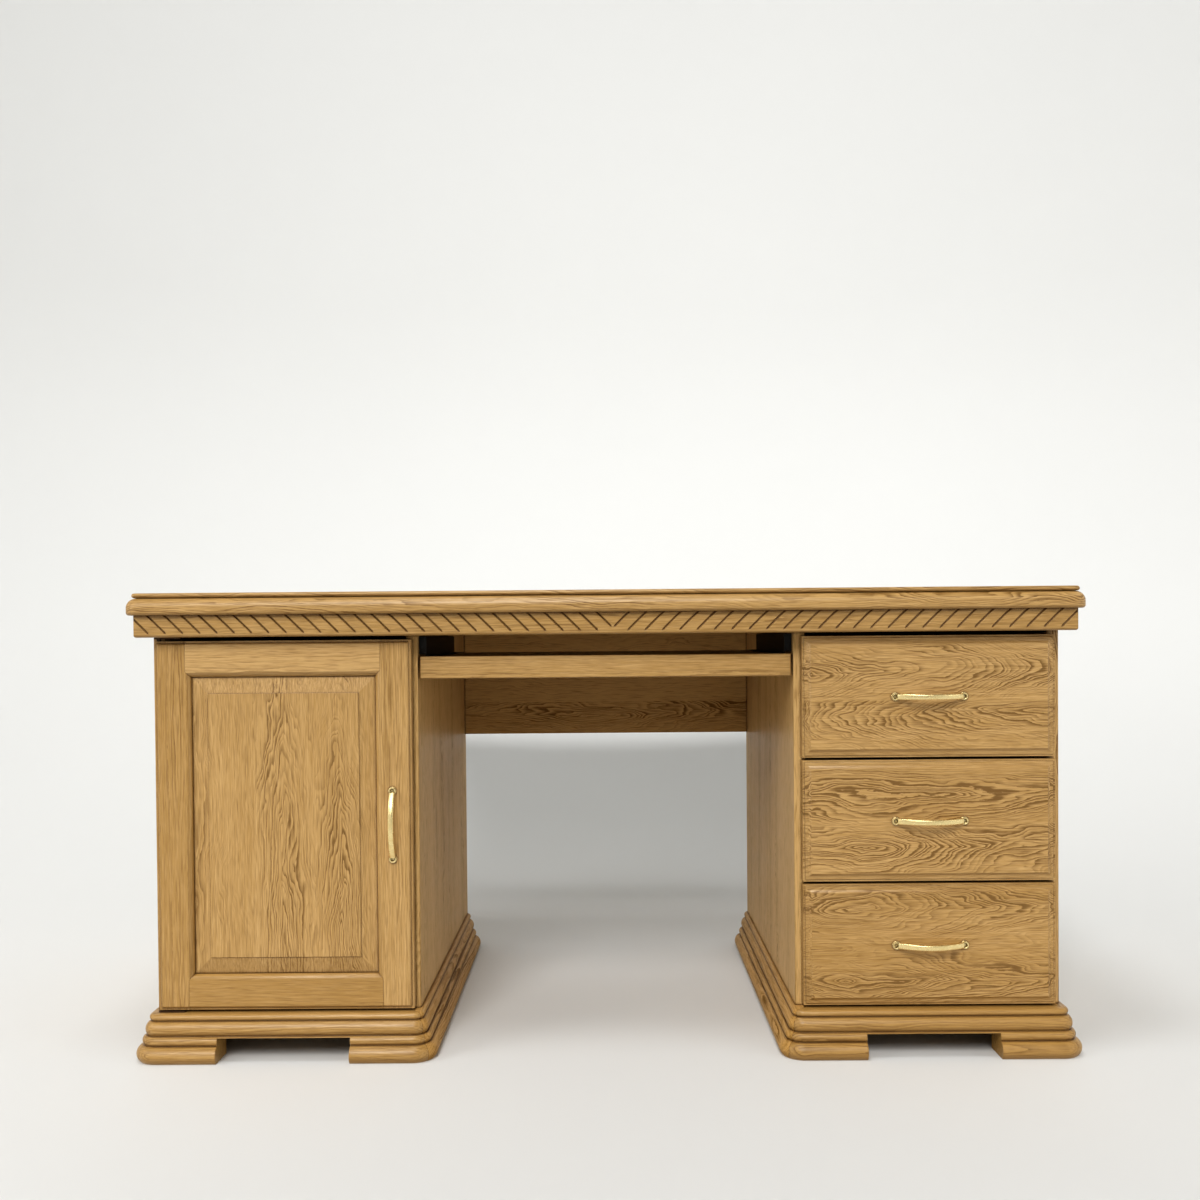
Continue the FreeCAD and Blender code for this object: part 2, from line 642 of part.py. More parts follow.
def shelf_pin_spots():
    """Middle of each pin where it leaves its side board, with the way it points."""
    z = SHELF_LEVEL - SHELF_PIN_RADIUS
    y0 = y_front + SHELF_SETBACK + SHELF_PIN_INSET
    y1 = y_inside_back - SHELF_PIN_INSET
    walls = ((cabinet_left, 1), (cabinet_right, -1))
    return [(V(x, y, z), V(way, 0, 0)) for x, way in walls for y in (y0, y1)]


def cabinet_shelf():
    """Loose shelf resting on four pins."""
    x0, x1 = cabinet_left + LOOSE_PLAY, cabinet_right - LOOSE_PLAY
    y0, y1 = y_front + SHELF_SETBACK, y_inside_back - LOOSE_PLAY
    middle = (x0 + x1) / 2
    shelf = box(x0, x1, y0, y1, SHELF_LEVEL, SHELF_LEVEL + SHELF_THICKNESS)
    return round_edges(shelf, EDGE_RADIUS, lambda c: abs(c.y - y0) < NEAR and abs(c.x - middle) < NEAR)


def shelf_pins():
    """Plain steel pins, half in the side boards and half under the shelf."""
    length = SHELF_PIN_DEPTH + SHELF_PIN_REACH
    return Part.makeCompound([Part.makeCylinder(SHELF_PIN_RADIUS, length, spot - way * SHELF_PIN_DEPTH, way)
                              for spot, way in shelf_pin_spots()])


def drill_for_pins(side):
    """Blind holes for the shelf pins in one cabinet side."""
    depth = SHELF_PIN_DEPTH + LOOSE_PLAY
    return side.cut([Part.makeCylinder(SHELF_PIN_RADIUS + PIN_PLAY, depth, spot, -way)
                     for spot, way in shelf_pin_spots()])


def drawer_edge(low, high):
    """Drawer front section between two edges: a thin rim, a step, then a cove up to the face."""
    face, back = y_front_face, y_front_back
    rim, wide = DRAWER_RIM_WIDTH, DRAWER_EDGE_WIDTH
    rim_y = face + DRAWER_EDGE_DEPTH
    step_y = rim_y - DRAWER_RIM_STEP
    hollow = rim + (wide - rim) * DRAWER_COVE_ALONG
    hollow_y = face + (step_y - face) * DRAWER_COVE_DOWN
    return (
        (low, back), (low, rim_y), (low + rim, rim_y), (low + rim, step_y),
        ((low + hollow, hollow_y), (low + wide, face)),
        (high - wide, face),
        ((high - hollow, hollow_y), (high - rim, step_y)),
        (high - rim, rim_y), (high, rim_y), (high, back),
    )


def drawer_side(x0, x1, z_low, slots):
    """One drawer side: the plain blank that its housing takes, and the slotted, eased board."""
    y0, z_high = y_front_back - DRAWER_HOUSING_DEPTH, z_low + DRAWER_BOX_HEIGHT
    middle = (y0 + y_box_back) / 2
    blank = box(x0, x1, y0, y_box_back, z_low, z_high)
    board = round_edges(blank, EDGE_RADIUS,
                        lambda c: abs(c.z - z_high) < NEAR and abs(c.y - middle) < NEAR)
    return blank, board.cut(slots)


def drawer(z0):
    """One drawer: overlay front, housed sides grooved for the runners, back and loose bottom."""
    z_low = z0 + DRAWER_BOX_LIFT
    thick, groove, play = DRAWER_SIDE_THICKNESS, DRAWER_GROOVE_DEPTH, JOINT_PLAY
    x0, x1 = box_x0 + thick, box_x1 - thick
    floor_low = z_low + DRAWER_BOTTOM_LIFT
    floor_high = floor_low + DRAWER_BOTTOM_THICKNESS
    floor_slot = box(x0 - groove, x1 + groove, y_front_back - groove, y_box_back,
                     floor_low - play, floor_high + play)
    run_low = z_low + RUNNER_LIFT - RUNNING_PLAY
    run_high = z_low + RUNNER_LIFT + RUNNER_HEIGHT + RUNNING_PLAY
    slots = [floor_slot] + [box(low, low + RUNNER_GROOVE_DEPTH, y_front_back, y_box_back, run_low, run_high)
                            for low in (box_x0, box_x1 - RUNNER_GROOVE_DEPTH)]
    left_blank, left = drawer_side(box_x0, x0, z_low, slots)
    right_blank, right = drawer_side(x1, box_x1, z_low, slots)
    front = moulded_board(drawer_edge, drawer_x0, drawer_x1, z0, z0 + drawer_height)
    sink = groove - LOOSE_PLAY
    handle = bow_handle()
    handle.translate(V((drawer_x0 + drawer_x1) / 2, y_front_face, z0 + drawer_height / 2))
    return {
        "front": front.cut([left_blank, right_blank, floor_slot]),
        "left_side": left,
        "right_side": right,
        "back": box(x0, x1, y_box_back - thick, y_box_back, floor_high + play, z_low + DRAWER_BOX_HEIGHT),
        "bottom": box(x0 - sink, x1 + sink, y_front_back - sink, y_box_back, floor_low, floor_high),
        "handle": handle,
    }


def drawer_levels():
    """Lower edge of each drawer front, from the bottom drawer up."""
    return [z_fronts_low + number * (drawer_height + DRAWER_GAP) for number in range(len(DRAWERS))]


def drawer_runners():
    """Hardwood strips on the pedestal sides that the drawers slide on."""
    reach = DRAWER_SIDE_GAP + RUNNER_GROOVE_DEPTH - RUNNING_PLAY
    walls = (half_knee + BOARD_THICKNESS, half_width - BOARD_THICKNESS)
    strips = []
    for z0 in drawer_levels():
        low = z0 + DRAWER_BOX_LIFT + RUNNER_LIFT
        for wall, way in zip(walls, (1, -1)):
            ends = sorted((wall, wall + way * reach))
            strips.append(box(*ends, y_front, y_front + RUNNER_LENGTH, low, low + RUNNER_HEIGHT))
    return Part.makeCompound(strips)


def oval(centre, across, through, facets):
    """Closed wire of flat facets round a centre, between two half axes."""
    turns = [2 * math.pi * number / facets for number in range(facets)]
    corners = [centre + across * math.cos(turn) + through * math.sin(turn) for turn in turns]
    return Part.makePolygon(corners + corners[:1])


def bar_section(centre, angle, width):
    """Oval section of the bow, square to its arc."""
    through = V(math.sin(angle), -math.cos(angle), 0) * (HANDLE_THICKNESS / 2)
    return oval(centre, V(0, 0, width / 2), through, HANDLE_FACETS)


def turned_stack(spot, steps):
    """Stack of (height, radius) rings standing out from the front, closed at both ends."""
    rings = [oval(spot - V(0, height, 0), V(radius, 0, 0), V(0, 0, radius), HANDLE_FOOT_FACETS)
             for height, radius in steps]
    return Part.makeLoft(rings, True, True)


def handle_foot(spot):
    """Foot of a handle: a flat collar and a slight taper up to the eye."""
    wide, tall = HANDLE_FOOT_RADIUS, HANDLE_FOOT_HEIGHT
    return turned_stack(spot, ((0, wide), (HANDLE_COLLAR_HEIGHT, wide), (tall, wide - HANDLE_FOOT_TAPER)))


def handle_eye(spot):
    """Blind eye bored into a handle's foot, through the end of the bow."""
    floor = HANDLE_FOOT_HEIGHT - HANDLE_EYE_DEPTH
    return turned_stack(spot, ((floor, HANDLE_EYE_RADIUS), (HANDLE_PROJECTION, HANDLE_EYE_RADIUS)))


def bow_handle():
    """Cast bow pull lying along X, with its feet on the plane Y = 0 and its bow towards -Y."""
    half = HANDLE_CENTRES / 2
    low = HANDLE_FOOT_HEIGHT - HANDLE_THICKNESS / 2
    rise = HANDLE_PROJECTION - HANDLE_THICKNESS / 2 - low
    radius = (half * half + rise * rise) / (2 * rise)
    sweep = math.asin(half / radius)
    sections = []
    for number in range(HANDLE_SPANS + 1):
        share = 2 * number / HANDLE_SPANS - 1
        angle = share * sweep
        centre = V(radius * math.sin(angle), radius * (1 - math.cos(angle)) - low - rise, 0)
        width = HANDLE_WAIST_WIDTH + (HANDLE_END_WIDTH - HANDLE_WAIST_WIDTH) * share * share
        sections.append(bar_section(centre, angle, width))
    bow = Part.makeLoft(sections, True, True)
    ends = (V(-half, 0, 0), V(half, 0, 0))
    behind = box(-2 * half, 2 * half, 0, HANDLE_PROJECTION, -half, half)
    return bow.fuse([handle_foot(end) for end in ends]).cut([handle_eye(end) for end in ends] + [behind])


def tray():
    """Keyboard tray: board flush with a deeper front rail."""
    front = box(-tray_half, tray_half, y_front, y_tray, z_tray - TRAY_FRONT_HEIGHT, z_tray)
    half_board = half_knee - SLIDE_REACH - SLIDE_SHEET
    z_under = z_tray - TRAY_BOARD_THICKNESS
    return {
        "tray_board": box(-half_board, half_board, y_tray, y_front + TRAY_DEPTH, z_under, z_tray),
        "tray_front": round_edges(front, EDGE_RADIUS, lambda c: c.y < y_front + NEAR),
    }


def tray_rails():
    """Black steel channels on the inner faces of the pedestals."""
    sheet, reach = SLIDE_SHEET, SLIDE_REACH
    low, high = z_slide_low, z_slide_high
    channel = outline(
        lambda s, z: V(half_knee - s, y_tray, z),
        (0, low), (reach, low), (reach, low + sheet), (sheet, low + sheet),
        (sheet, high - sheet), (reach, high - sheet), (reach, high), (0, high),
    ).extrude(V(0, SLIDE_LENGTH, 0))
    return Part.makeCompound([channel, mirrored(channel)])


def tray_slides():
    """Inner bars that run in the channels, each with a hanger leg and a foot on the tray board."""
    sheet, play = SLIDE_SHEET, RUNNING_PLAY
    near, far = sheet + play, SLIDE_REACH + play
    low, high = z_slide_low + sheet + play, z_slide_high - sheet - play
    leg, toe = far + sheet, far + HANGER_FOOT
    slide = outline(
        lambda s, z: V(half_knee - s, y_tray, z),
        (near, low), (far, low), (far, z_tray), (toe, z_tray), (toe, z_tray + sheet),
        (leg, z_tray + sheet), (leg, high), (near, high),
    ).extrude(V(0, SLIDE_LENGTH, 0))
    return Part.makeCompound([slide, mirrored(slide)])


def pieces():
    """Every piece of the desk by name."""
    found = {"desktop": desktop(), "front_rail": front_rail(), "modesty_panel": modesty_panel()}
    found.update(friezes())
    for name, board in right_pedestal().items():
        found["right_" + name] = board
        left = mirrored(board)
        found["left_" + name] = drill_for_pins(left) if name.endswith("side") else left
    for name, length in right_plinth().items():
        found["right_plinth_" + name] = length
        found["left_plinth_" + name] = mirrored(length)
    found["cabinet_shelf"] = cabinet_shelf()
    found["shelf_pins"] = shelf_pins()
    found["door_pivots"] = door_pivots()
    found["door_catch"] = door_catch()
    found["drawer_runners"] = drawer_runners()
    found["tray_rails"] = tray_rails()
    found.update(door())
    for name, z0 in zip(DRAWERS, drawer_levels()):
        for piece, shape in drawer(z0).items():
            found[name + "_drawer_" + piece] = shape
    found.update(tray())
    found["tray_slides"] = tray_slides()
    return found


os.makedirs("parts", exist_ok=True)
for node, shape in pieces().items():
    shape.exportStep("parts/" + node + ".step")
    state = "valid" if shape.isValid() else "NOT VALID"
    print(node, len(shape.Solids), "solids", round(shape.Volume / 1000), "cm3", state)
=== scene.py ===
import math
import random

import bmesh
import bpy
from mathutils import Matrix, Vector


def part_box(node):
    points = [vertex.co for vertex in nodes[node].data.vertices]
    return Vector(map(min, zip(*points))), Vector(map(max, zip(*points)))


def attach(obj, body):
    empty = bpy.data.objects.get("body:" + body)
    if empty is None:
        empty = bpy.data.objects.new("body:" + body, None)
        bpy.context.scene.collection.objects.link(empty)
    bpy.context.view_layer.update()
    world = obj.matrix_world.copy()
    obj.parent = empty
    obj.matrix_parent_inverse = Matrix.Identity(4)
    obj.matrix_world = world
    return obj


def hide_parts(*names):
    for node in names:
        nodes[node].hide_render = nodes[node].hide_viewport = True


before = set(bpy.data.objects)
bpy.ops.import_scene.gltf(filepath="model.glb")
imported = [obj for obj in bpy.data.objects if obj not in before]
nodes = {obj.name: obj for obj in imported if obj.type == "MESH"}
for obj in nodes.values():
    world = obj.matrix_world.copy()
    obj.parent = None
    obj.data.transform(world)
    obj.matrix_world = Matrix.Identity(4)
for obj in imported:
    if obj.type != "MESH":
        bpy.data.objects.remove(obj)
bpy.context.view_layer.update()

# Lengths are in metres. X runs to the right, Y to the back, Z up, with the floor at Z = 0.

# Moulded edge of the desktop: a thin bead, a fine quirk and a broad ovolo below
TOP_BEAD_HEIGHT = 0.008
TOP_BEAD_SETBACK = 0.009
TOP_QUIRK_HEIGHT = 0.0005
TOP_OVOLO_WIDTH = 0.016
TOP_OVOLO_HEIGHT = 0.0165
TOP_LOWER_RADIUS = 0.005
TOP_CORNER_RADIUS = 0.022

# Stepped plinth: (reach, height where it starts) of the foot, bead, torus and cap
PLINTH_HEIGHT = 0.078
PLINTH_ROUNDS = ((0.030, 0.0), (0.020, 0.028), (0.015, 0.043), (0.008, 0.067))
PLINTH_FOOT_TUCK = 0.006
PLINTH_CAP_EASE = 0.005
PLINTH_QUIRK = 0.0034
PLINTH_BULGE_LEVEL = 0.42
PLINTH_CORNER_RADIUS = 0.010
PLINTH_WALL = 0.032
PLINTH_LINE_X = (0.3195, 0.7695)
PLINTH_LINE_Y = (-0.358, 0.359)
FOOT_GAP_WIDTH = 0.223
FOOT_GAP_HEIGHT = 0.041
SAW_CUT_DEPTH = 0.3

# Cast bow handles; the bar takes up most of the arc and leaves the eyes of the feet open
HANDLE_CENTRES = 0.115
HANDLE_PROJECTION = 0.025
HANDLE_FOOT_HEIGHT = 0.005
HANDLE_THICKNESS = 0.005
HANDLE_WAIST_WIDTH = 0.0090
HANDLE_END_WIDTH = 0.0104
HANDLE_BAR_SHARE = 0.925
HANDLE_FLATNESS = 3.2

# Turned foot of a handle: (radius, height) from its rim to the bottom of its eye
FOOT_TURNING = ((0.0070, 0.0), (0.0070, 0.0011), (0.0067, 0.0015), (0.0060, 0.0017), (0.0059, 0.0022),
                (0.0062, 0.0042), (0.0060, 0.0048), (0.0053, 0.0050), (0.0047, 0.0049), (0.0041, 0.0046),
                (0.0037, 0.0040), (0.0035, 0.0030), (0.0034, 0.0008), (0.0012, 0.0006))

# How finely the rounds are drawn
ROUND_STEPS = 12
CORNER_STEPS = 14
HANDLE_SPANS = 36
HANDLE_FACETS = 20
FOOT_FACETS = 28

# Sanded edges, and the angles in degrees from which an edge counts as sharp
BOARD_EASE = 0.0007
BOARD_EDGE_ANGLE = 38.0
PLINTH_EASE = 0.0008
PLINTH_EDGE_ANGLE = 50.0
EASE_SEGMENTS = 2
FLAT_FACE_ANGLE = 0.5
WOOD_SHARP_ANGLE = 34.0
BRASS_SHARP_ANGLE = 40.0
SAME_POINT = 1e-6


class Flow:
    """A value that runs through a finish; Python's operators on it add Math nodes."""

    def __init__(self, finish, socket):
        self.finish = finish
        self.socket = socket

    def pick(self, output):
        """Another output of the same node."""
        return Flow(self.finish, self.socket.node.outputs[output])

    def math(self, operation, *values):
        return self.finish.add("ShaderNodeMath", {"operation": operation}, dict(enumerate(values)))

    def __add__(self, other):
        return self.math("ADD", self, other)

    def __radd__(self, other):
        return self.math("ADD", other, self)

    def __sub__(self, other):
        return self.math("SUBTRACT", self, other)

    def __rsub__(self, other):
        return self.math("SUBTRACT", other, self)

    def __mul__(self, other):
        return self.math("MULTIPLY", self, other)

    def __rmul__(self, other):
        return self.math("MULTIPLY", other, self)

    def __truediv__(self, other):
        return self.math("DIVIDE", self, other)

    def __rtruediv__(self, other):
        return self.math("DIVIDE", other, self)

    def __pow__(self, other):
        return self.math("POWER", self, other)

    def __rpow__(self, other):
        return self.math("POWER", other, self)

    def __floor__(self):
        return self.math("FLOOR", self)

    def __abs__(self):
        return self.math("ABSOLUTE", self)

    def between(self, low, high):
        """0 at the low value and below, 1 at the high value and above."""
        return self.finish.add("ShaderNodeMapRange", {"clamp": True},
                               {"Value": self, "From Min": low, "From Max": high})


class Finish:
    """One material; every node in it comes from add()."""

    def __init__(self, name, **constants):
        self.material = bpy.data.materials.new(name)
        self.material.use_nodes = True
        self.tree = self.material.node_tree
        self.shader = self.tree.nodes["Principled BSDF"]
        for socket, value in constants.items():
            self.shader.inputs[socket.replace("_", " ")].default_value = value

    def add(self, kind, settings, values, output=0):
        """A node of this kind: its settings first, then the values or links of its sockets."""
        node = self.tree.nodes.new(kind)
        for name, setting in settings.items():
            setattr(node, name, setting)
        for name, value in values.items():
            if isinstance(value, Flow):
                self.tree.links.new(value.socket, node.inputs[name])
            else:
                node.inputs[name].default_value = value
        return Flow(self, node.outputs[output])

    def place(self):
        """Where a point lies in the desk at rest, so that grain runs through the solid piece."""
        return self.add("ShaderNodeTexCoord", {}, {}, "Object")

    def noise(self, place, scale, shift, detail=2.0, roughness=0.5, output=0):
        """Soft noise from about 0 to 1, drawn out by the scale along each axis."""
        settings = {"operation": "MULTIPLY_ADD"}
        spot = self.add("ShaderNodeVectorMath", settings, {0: place, 1: scale, 2: shift})
        values = {"Vector": spot, "Scale": 1.0, "Detail": detail, "Roughness": roughness}
        return self.add("ShaderNodeTexNoise", {}, values, output)

    def waves(self, value, detail):
        """Soft noise from about 0 to 1 along one value."""
        settings = {"noise_dimensions": "1D"}
        return self.add("ShaderNodeTexNoise", settings, {"W": value, "Scale": 1.0, "Detail": detail})

    def draw(self, number, output="Value"):
        """A chance number from 0 to 1 for each whole number."""
        return self.add("ShaderNodeTexWhiteNoise", {"noise_dimensions": "1D"}, {"W": number}, output)

    def parts(self, colour):
        """Red, green and blue of a colour, to pick from."""
        return self.add("ShaderNodeSeparateColor", {}, {0: colour})

    def blend(self, share, first, second):
        """Colour between two others."""
        settings = {"data_type": "RGBA", "clamp_factor": True}
        return self.add("ShaderNodeMix", settings, {0: share, 6: first, 7: second}, 2)

    def recess(self, distance, closed, free):
        """0 on open faces, 1 in the recesses that other faces hem in within the distance."""
        settings = {"samples": NEARBY_RAYS}
        open_air = self.add("ShaderNodeAmbientOcclusion", settings, {"Distance": distance}, "AO")
        return 1.0 - open_air.between(closed, free)

    def relief(self, height, distance, **normal):
        """Normal raised by a height from 0 to 1."""
        return self.add("ShaderNodeBump", {}, {"Height": height, "Distance": distance, **normal})

    def wear(self, **flows):
        """Link what changes over the surface to the shader."""
        for socket, flow in flows.items():
            self.tree.links.new(flow.socket, self.shader.inputs[socket.replace("_", " ")])
        return self.material


# Colours of the lacquered oak, of the plainer drawer boxes, of the fittings and of the studio
OAK_PALE = (0.560, 0.356, 0.146, 1.0)
OAK_GOLD = (0.380, 0.218, 0.062, 1.0)
# Painted shade: deeper, more saturated oak colour that boards lying in shade are pushed towards
OAK_PAINTED_SHADE = (0.415, 0.218, 0.050, 1.0)
OAK_LINE = (0.185, 0.092, 0.016, 1.0)
# Dark stain colour that also paints shade into the oak's recesses
OAK_STAIN_AND_SHADE = (0.085, 0.034, 0.008, 1.0)
BOX_PALE = (0.70, 0.53, 0.33, 1.0)
BOX_DARK = (0.56, 0.38, 0.21, 1.0)
BOX_FLECK = (0.42, 0.26, 0.13, 1.0)
BRASS_BRIGHT = (0.97, 0.79, 0.41, 1.0)
BRASS_DULL = (0.70, 0.49, 0.18, 1.0)
BRASS_PATINA = (0.040, 0.020, 0.008, 1.0)
COAT_BLACK = (0.016, 0.015, 0.014, 1.0)
COAT_RUBBED = (0.06, 0.058, 0.055, 1.0)
ZINC_BRIGHT = (0.62, 0.63, 0.65, 1.0)
ZINC_GREY = (0.42, 0.43, 0.46, 1.0)
BROWNED_DARK = (0.060, 0.036, 0.020, 1.0)
BROWNED_LIGHT = (0.110, 0.066, 0.036, 1.0)
CATCH_DARK = (0.055, 0.028, 0.014, 1.0)
CATCH_LIGHT = (0.085, 0.046, 0.024, 1.0)
PAPER_LIGHT = (0.735, 0.736, 0.722, 1.0)
PAPER_GREY = (0.712, 0.713, 0.700, 1.0)
CLOTH_DARK = (0.10, 0.10, 0.10, 1.0)
CLOTH_LIGHT = (0.14, 0.14, 0.14, 1.0)

# Scales of the oak's noises along and across the grain, in waves to the metre
GRAIN_BENDS = (4.5, 15.0)
GRAIN_KINKS = (19.0, 66.0)
RAGGED_LINES = (80.0, 430.0)
STREAKS = (11.0, 400.0)
PATCHES = (4.0, 22.0)
PORES = (30.0, 700.0)
FLECKS = (24.0, 560.0)
CLOUDS = (1.7, 16.0)
SWELLS = 4.2
YEARS = 95.0

# Growth rings: width of one, and how round they are (2 is a circle, 1 is a diamond)
RING_WIDTH = 0.0043
RING_ROUNDNESS = 1.25

# Chance shift of a board's noises, either way on each axis
CHANCE_REACH = 40

# Old polish and painted shade: reach of the oak's stain and painted shade and of the brass's patina in
# recesses, radius of the rubbed edges, and the number of rays that look for faces nearby
STAIN_AND_SHADE_REACH = 0.0045
PATINA_REACH = 0.004
RUBBED_RADIUS = 0.0018
NEARBY_RAYS = 2


def toward(colour, other, share):
    """Colour part of the way to another one."""
    return [first + (second - first) * share for first, second in zip(colour, other)]


def along_grain(along, scales):
    """Scale of a noise on each axis, from its scales along the grain and across it."""
    lengthwise, crosswise = scales
    return [lengthwise if axis == along else crosswise for axis in "XYZ"]


def even(scale):
    """The same scale on each axis."""
    return (scale, scale, scale)


class OakBoard:
    """An oak board sawn from a log and glued from staves where it is wide."""

    def __init__(self, piece, along, across, seed, stave, edge, gloss):
        self.low, self.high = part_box(piece)
        self.along = along
        self.across = across
        self.through = [axis for axis in "XYZ" if axis not in (along, across)][0]
        self.stave = stave
        self.edge = edge
        self.chance = random.Random(seed)
        self.shift = [self.chance.uniform(-CHANCE_REACH, CHANCE_REACH) for axis in "XYZ"]
        self.finish = Finish("oak_" + piece, IOR=1.50, Specular_IOR_Level=gloss)
        self.place = self.finish.place()
        self.spot = self.finish.add("ShaderNodeSeparateXYZ", {}, {0: self.place})
        if stave:
            self.number = math.floor((self.spot.pick(across) - edge) / stave)
            parts = self.finish.parts(self.finish.draw(self.number + self.chance.uniform(1, 50), "Color"))
            self.chances = [parts.pick(name) for name in ("Red", "Green", "Blue")]
        else:
            self.number = 0.0
            self.chances = [self.chance.random() for draw in range(3)]

    def side(self, axis):
        """Where the board starts and ends on an axis."""
        number = "XYZ".index(axis)
        return self.low[number], self.high[number]

    def from_middle(self, axis):
        """How far a point lies from the middle of the board on an axis."""
        return self.spot.pick(axis) - sum(self.side(axis)) / 2

    def of_stave(self, values):
        """The value that belongs to the stave at hand."""
        shares = [(1.0 - abs(self.number - n)).between(0.0, 1.0) for n in range(len(values))]
        return sum(share * value for share, value in zip(shares, values))

    def grain(self, scales, detail=2.0, roughness=0.5, output=0, moved=1):
        """Noise drawn out along the grain."""
        scale = along_grain(self.along, scales)
        shift = [moved * move for move in self.shift]
        return self.finish.noise(self.place, scale, shift, detail, roughness, output)

    def heart(self, figure, slope, deep):
        """How far a point lies aside of the log's heart, and how deep the heart lies under it."""
        first, second, third = self.chances
        across = self.spot.pick(self.across)
        lengthwise = self.from_middle(self.along)
        if figure:
            hearts, depths, slopes = (self.of_stave(values) for values in zip(*figure))
            return across - hearts, depths + lengthwise * slopes
        fall = lengthwise * ((second - 0.5) * 2 * slope)
        if self.stave:
            aside = across - self.edge - (self.number + 0.05 + first * 0.9) * self.stave
            return aside, deep * (0.2 + third * 0.8) + fall
        start, end = self.side(self.across)
        aside = across - (start + (0.1 + first * 0.8) * (end - start))
        return aside, deep * (0.4 + third * 0.8) + fall

    def wavering(self, aside, depth, wander, sway):
        """The heart's place as the log grew: its depth changes along the grain, which draws the arches."""
        start = self.chances[1] * 9.0 + self.chance.uniform(1, 30)
        swell = self.finish.waves(self.spot.pick(self.along) * SWELLS + start, 2.0)
        bends, kinks = (self.finish.parts(self.grain(scales, 1.0, output="Color"))
                        for scales in (GRAIN_BENDS, GRAIN_KINKS))
        depth = depth + (swell - 0.5) * (2 * wander) + self.from_middle(self.through)
        depth = depth + (bends.pick("Red") - 0.5) * sway + (kinks.pick("Red") - 0.5) * (sway * 0.22)
        aside = aside + (bends.pick("Green") - 0.5) * (sway * 0.9)
        return aside + (kinks.pick("Green") - 0.5) * (sway * 0.20), depth

    def rings(self, aside, depth):
        """Number of the growth ring at each point; the years differ in width."""
        radius = (abs(aside) ** RING_ROUNDNESS + abs(depth) ** RING_ROUNDNESS) ** (1 / RING_ROUNDNESS)
        ragged = self.grain(RAGGED_LINES, 2.0, 0.6)
        years = self.finish.waves(radius * YEARS + self.chance.uniform(1, 30), 1.0)
        return (radius + (ragged - 0.5) * 0.0020) / RING_WIDTH + (years - 0.5) * 1.6

    def ring_lines(self, aside, rings, streak):
        """Dark porous line at the start of each ring, which fades into the dense summer wood."""
        count = math.floor(rings)
        into = rings - count
        strength = self.finish.draw(count + self.number * 17.3 + self.chance.uniform(1, 90))
        fade = (1.0 - into.between(0.12, 0.72)) * into.between(0.0, 0.10)
        heartwood = 1.0 - abs(aside).between(0.010, 0.050)
        patch = self.grain(PATCHES, 1.0, moved=2).between(0.34, 0.58)
        dark = fade * (0.35 + 0.90 * strength) * (0.45 + streak.between(0.32, 0.62))
        return dark * (0.20 + 0.80 * heartwood) * (0.35 + 0.65 * patch)


def oak(piece, along, across, seed, stave=0.0, edge=0.0, figure=None, slope=0.22, deep=0.035,
        wander=0.016, sway=0.055, tone_offset_and_painted_shade=0.0, line=1.0, gloss=0.5, painted_shade_deeper=0.0, stained_and_shaded=0.85):
    """Lacquered oak with the growth rings of its own board.

    A figure lists (heart across, depth of the heart at mid-length, slope of the heart) per stave;
    without one each stave gets chance values up to the slope and depth given.
    """
    board = OakBoard(piece, along, across, seed, stave, edge, gloss)
    finish = board.finish
    aside, depth = board.wavering(*board.heart(figure, slope, deep), wander, sway)
    rings = board.rings(aside, depth)
    streak = board.grain(STREAKS, 2.0, 0.6)
    dark = board.ring_lines(aside, rings, streak) * line
    pores = board.grain(PORES, 1.0).between(0.53, 0.70)
    flecks = board.grain(FLECKS, 2.0, 0.7, moved=3)
    cloud = board.grain(CLOUDS)
    # The board's tone offset is partly painted shade: pieces in shade are made lighter, low pieces by the
    # bright floor darker
    tone_with_painted_shade = cloud.between(0.25, 0.75) * 0.40 + (board.chances[2] - 0.5) * 0.30 + (tone_offset_and_painted_shade - 0.30)
    tone_with_painted_shade = tone_with_painted_shade + flecks.between(0.32, 0.68) * 0.65 + streak.between(0.30, 0.70) * 0.35

    # Painted shade, partly stain and old polish, darkens the quirks, the carved cuts and the steps
    stain_and_painted_shade = finish.recess(STAIN_AND_SHADE_REACH, 0.45, 0.95)

    # Painted shade: faces that look down are made darker, as if in shade
    facing = finish.add("ShaderNodeTexCoord", {}, {}, "Normal")
    upward = finish.add("ShaderNodeSeparateXYZ", {}, {0: facing}).pick("Z")
    painted_underside_shade = 1.0 - upward.between(-0.32, -0.02)

    # Painted shade: boards lying in shade are pushed towards a deeper, more saturated colour
    colour = finish.blend(tone_with_painted_shade, toward(OAK_PALE, OAK_PAINTED_SHADE, painted_shade_deeper), toward(OAK_GOLD, OAK_PAINTED_SHADE, painted_shade_deeper))
    colour = finish.blend(pores * 0.42, colour, OAK_LINE)
    colour = finish.blend(dark, colour, OAK_LINE)
    colour = finish.blend(painted_underside_shade * 0.45, colour, OAK_LINE)
    colour = finish.blend(stain_and_painted_shade * stained_and_shaded, colour, OAK_STAIN_AND_SHADE)
    rough = 0.34 + dark * 0.12 + pores * 0.10 + (cloud - 0.5) * 0.10
    height = 0.8 - dark * 0.5 - pores * 0.3
    rubbed = finish.add("ShaderNodeBevel", {"samples": NEARBY_RAYS}, {"Radius": RUBBED_RADIUS})
    normal = finish.relief(height, 0.0002, Normal=rubbed)
    return finish.wear(Base_Color=colour, Roughness=rough, Normal=normal)


